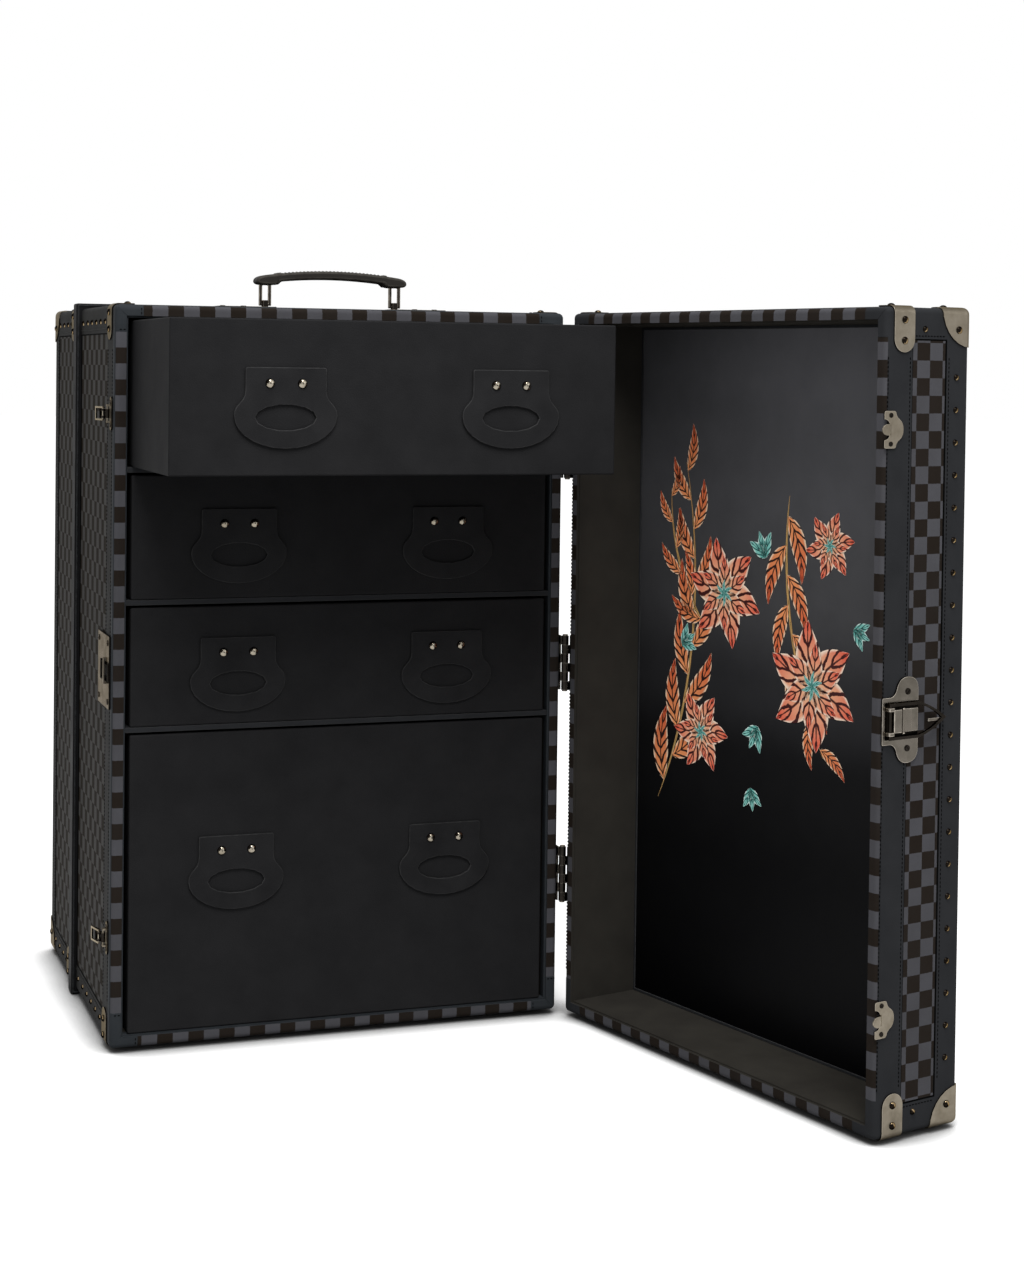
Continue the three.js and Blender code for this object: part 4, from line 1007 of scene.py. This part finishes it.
# A raised bead runs along the upper and lower bands of the carcass's sides
beads = {"in": 27.5, "radius": 0.8, "out": 0.1, "runs": ((-188.0, 11.0), (40.0, 236.0))}
bm = bmesh.new()
for side in (-1, 1):
    for up in (beads["in"], height - beads["in"]):
        for startY, endY in beads["runs"]:
            spot = Matrix.Translation((side * (half + beads["out"]), (startY + endY) / 2, up))
            bmesh.ops.create_cone(bm, cap_ends=True, segments=8, radius1=beads["radius"], radius2=beads["radius"],
                                  depth=endY - startY, matrix=spot @ Matrix.Rotation(math.pi / 2, 4, "X"))
makePiece("bandBeads", bm, "sideLeather", "trunk")
print("details made")

# Printed branches of leaves and striped blossoms on the door's panel, as thin inlays. A stem is its root, heading,
# length, bend, leaves and their length; a blossom its middle and radius; a bud its middle, radius and heading
sprays = {"out": 0.12, "thick": 0.12, "stemWidth": 3.6,
          "stems": [((212.0, 262.0), 118.0, 420.0, -0.75, 12, 96.0), ((118.0, 470.0), 40.0, 190.0, 0.9, 6, 66.0),
                    ((-20.0, 640.0), -82.0, 300.0, -0.7, 9, 84.0)],
          "blossoms": [((92.0, 520.0), 66.0), ((-62.0, 430.0), 74.0), ((132.0, 352.0), 50.0), ((-88.0, 588.0), 40.0)],
          "buds": [((20.0, 566.0), 17.0, 70.0), ((170.0, 452.0), 15.0, 150.0), ((28.0, 372.0), 16.0, -60.0),
                   ((-128.0, 500.0), 14.0, 200.0), ((40.0, 300.0), 14.0, -100.0)]}
# Root, tip, edge and line colours, and the number of stripes
printLooks = {"leafPrint": ((240, 160, 104), (206, 78, 46), (244, 214, 182), (36, 20, 18), 6.0),
              "petalPrint": ((250, 214, 170), (226, 72, 52), (250, 226, 204), (58, 20, 20), 4.0),
              "budPrint": ((98, 178, 168), (150, 214, 204), (226, 244, 238), (30, 84, 80), 3.0),
              "stemPrint": ((222, 184, 116), (196, 154, 92), (120, 88, 52), (96, 66, 40), 14.0)}
layers = {"printedStems": ("stemPrint", 0.0), "printedLeaves": ("leafPrint", 0.1),
          "printedBlossoms": ("petalPrint", 0.25), "printedInnerPetals": ("petalPrint", 0.4),
          "printedBuds": ("budPrint", 0.55)}


def bentPoint(root, heading, length, bend, t, spread=0.0):
    # A point on an arc from the root, or beside it
    angle, turn = bend * t, math.radians(heading)
    along = length * (math.sin(angle) / bend if bend else t) - spread * math.sin(angle)
    away = length * ((1 - math.cos(angle)) / bend if bend else 0.0) + spread * math.cos(angle)
    return (root[0] + along * math.cos(turn) - away * math.sin(turn),
            root[1] + along * math.sin(turn) + away * math.cos(turn))


def addLeaf(name, root, heading, length, width, bend):
    bm = prints[name]
    layer = bm.loops.layers.uv["leaf"]
    for v in bmesh.ops.create_grid(bm, x_segments=14, y_segments=4, size=0.5)["verts"]:
        t, side = v.co.x + 0.5, v.co.y * 2
        for loop in v.link_loops:
            loop[layer].uv = (t, v.co.y + 0.5)
        spread = side * width * math.sin(math.pi * min(t, 1.0) ** 0.8) * 0.5 + side * 0.3
        x, z = bentPoint(root, heading, length, bend, t, spread)
        v.co = (x, door["panelY"] + sprays["out"], z)


def printMaterial(name, root, tip, edge, line, stripes):
    tree, sockets, place = startMaterial(name)
    leafMap = addNode(tree, "UVMap", uv_map="leaf").outputs[0]
    along, side = addNode(tree, "SeparateXYZ", {0: leafMap}).outputs[:2]
    across = mathNode(tree, "MULTIPLY", mathNode(tree, "ABSOLUTE", mathNode(tree, "SUBTRACT", side, 0.5)), 2.0)
    wobble = noiseNode(tree, place, 55.0, 3.0)[0]
    slant = mathNode(tree, "ADD", mathNode(tree, "MULTIPLY", along, stripes), mathNode(tree, "MULTIPLY", across, -1.3))
    stripe = rangeNode(tree, mathNode(tree, "FRACT", mathNode(tree, "ADD", slant, wobble)), 0.62, 0.7)
    rib = rangeNode(tree, across, 0.1, 0.04)
    body = mixColour(tree, along, grey(*root), grey(*tip))
    edged = mixColour(tree, rangeNode(tree, across, 0.72, 0.95), body, grey(*edge))
    dress(tree, sockets, mixColour(tree, mathNode(tree, "MAXIMUM", stripe, rib), edged, grey(*line)),
          rangeNode(tree, wobble, 0.3, 0.7, 0.4, 0.5), stripe, 0.00005, 0.4, 0.25)


for name, look in printLooks.items():
    printMaterial(name, *look)
prints = {name: bmesh.new() for name in layers}
for bm in prints.values():
    bm.loops.layers.uv.new("leaf")
for root, heading, length, bend, count, leafLength in sprays["stems"]:
    addLeaf("printedStems", root, heading, length, sprays["stemWidth"], bend)
    for k in range(count):
        t = (k + 0.7) / count
        side = 1 if k % 2 else -1
        size = leafLength * (1.0 - 0.4 * t)
        addLeaf("printedLeaves", bentPoint(root, heading, length, bend, t),
                heading + math.degrees(bend * t) + side * 46.0, size, size * 0.3, -side * 0.8)
for middle, radius in sprays["blossoms"]:
    for turn in range(0, 360, 60):
        addLeaf("printedBlossoms", middle, turn + radius, radius, radius * 0.56, 0.35)
        addLeaf("printedInnerPetals", middle, turn + radius + 30.0, radius * 0.66, radius * 0.34, -0.3)
        addLeaf("printedBuds", middle, turn + radius + 12.0, radius * 0.24, radius * 0.07, 0.5)
for middle, radius, heading in sprays["buds"]:
    for k in (-1, 0, 1):
        addLeaf("printedBuds", middle, heading + 26.0 * k, radius * 1.9, radius * 0.8, 0.4 * k)
for name, (finish, step) in layers.items():
    bm = prints[name]
    bmesh.ops.translate(bm, vec=(0, step, 0), verts=bm.verts)
    faceOut(bm)
    if sum(f.normal.y for f in bm.faces) < 0:
        bmesh.ops.reverse_faces(bm, faces=bm.faces)
    bmesh.ops.solidify(bm, geom=bm.faces[:], thickness=sprays["thick"])
    makePiece(name, bm, finish, "door")
print("panel print made")

# Stage, light and camera
view = {"place": (-0.681, -2.74002, 0.77907), "yaw": 0.34055, "pitch": 0.02267, "roll": -0.01243,
        "focal": 2212.27, "centreY": 418.41, "imageHeight": 1280.0}
cameraData = bpy.data.cameras.new("camera")
cameraData.lens = 36.0 * view["focal"] / view["imageHeight"]
cameraData.shift_y = (view["centreY"] - view["imageHeight"] / 2) / view["imageHeight"]
camera = addObject("camera", cameraData)
yaw, pitch, roll = view["yaw"], view["pitch"], view["roll"]
forward = Vector((math.sin(yaw) * math.cos(pitch), math.cos(yaw) * math.cos(pitch), -math.sin(pitch)))
level = Vector((math.cos(yaw), -math.sin(yaw), 0.0))
down = forward.cross(level)
rightward = level * math.cos(roll) + down * math.sin(roll)
downward = down * math.cos(roll) - level * math.sin(roll)
camera.matrix_world = Matrix.Translation(view["place"]) @ axesMatrix(rightward, -downward, -forward)
bpy.context.scene.camera = camera

light = {"world": 0.55, "floorGlow": 0.85, "shade": 0.2, "pale": (0.49, 0.51), "near": 0.065,
         "open": (0.35, 0.9, 0.97), "floorZ": -0.0057, "floorSize": 30.0,
         "lamps": [("keyLamp", (-0.35, -2.1, 3.3), (0.0, -0.2, 0.3), 1.8, 130.0),
                   ("fillLamp", (2.4, -3.0, 2.0), (0.2, -0.2, 0.4), 2.2, 22.0)]}


def seenDirectly(tree):
    path = addNode(tree, "LightPath").outputs
    seen = mathNode(tree, "MAXIMUM", path["Is Camera Ray"], path["Is Glossy Ray"])
    return mathNode(tree, "MAXIMUM", seen, path["Is Transmission Ray"])


world = bpy.data.worlds.new("studio")
bpy.context.scene.world = world
world.use_nodes = True
tree = world.node_tree
background = tree.nodes["Background"].inputs
background["Color"].default_value = (1, 1, 1, 1)
plug(tree, background["Strength"], rangeNode(tree, seenDirectly(tree), 0.0, 1.0, light["world"], 1.0))
for name, place, target, size, power in light["lamps"]:
    lampData = bpy.data.lights.new(name, "AREA")
    lampData.size = size
    lampData.energy = power
    aim = (Vector(target) - Vector(place)).to_track_quat("-Z", "Y").to_matrix().to_4x4()
    addObject(name, lampData).matrix_world = Matrix.Translation(place) @ aim

bm = bmesh.new()
bmesh.ops.create_grid(bm, x_segments=8, y_segments=8, size=light["floorSize"],
                      matrix=Matrix.Translation((0, 0, light["floorZ"])))
floor = addObject("floor", meshOf(bm, "floor"))
tree, sockets, place = startMaterial("paleFloor")
sockets["Roughness"].default_value = 0.9
sockets["Specular IOR Level"].default_value = 0.0

# Near the object the floor's colour is painted dark as a contact shadow, and there it doesn't glow, wherever the
# object stands in a pose
openness = addNode(tree, "AmbientOcclusion", {"Distance": light["near"]}, samples=12).outputs["AO"]
covered, middle, clear = light["open"]
paintedShadowShare = rangeNode(tree, openness, covered, middle, kind="SMOOTHSTEP")
reach = rangeNode(tree, openness, covered, clear, kind="SMOOTHSTEP")
speckle = noiseNode(tree, place, 3.0)[0]
pale = mixColour(tree, speckle, *((tone,) * 3 for tone in light["pale"]))
plug(tree, sockets["Base Color"], mixColour(tree, paintedShadowShare, (light["shade"],) * 3, pale))
strength = mathNode(tree, "MULTIPLY", mathNode(tree, "MULTIPLY", seenDirectly(tree), light["floorGlow"]), reach)
glow = addNode(tree, "Emission", {"Strength": strength})
together = addNode(tree, "AddShader", {0: tree.nodes["Principled BSDF"].outputs[0], 1: glow.outputs[0]})
plug(tree, tree.nodes["Material Output"].inputs["Surface"], together.outputs[0])
floor.data.materials.append(bpy.data.materials["paleFloor"])

bpy.context.scene.view_settings.view_transform = "Standard"
print("stage made")
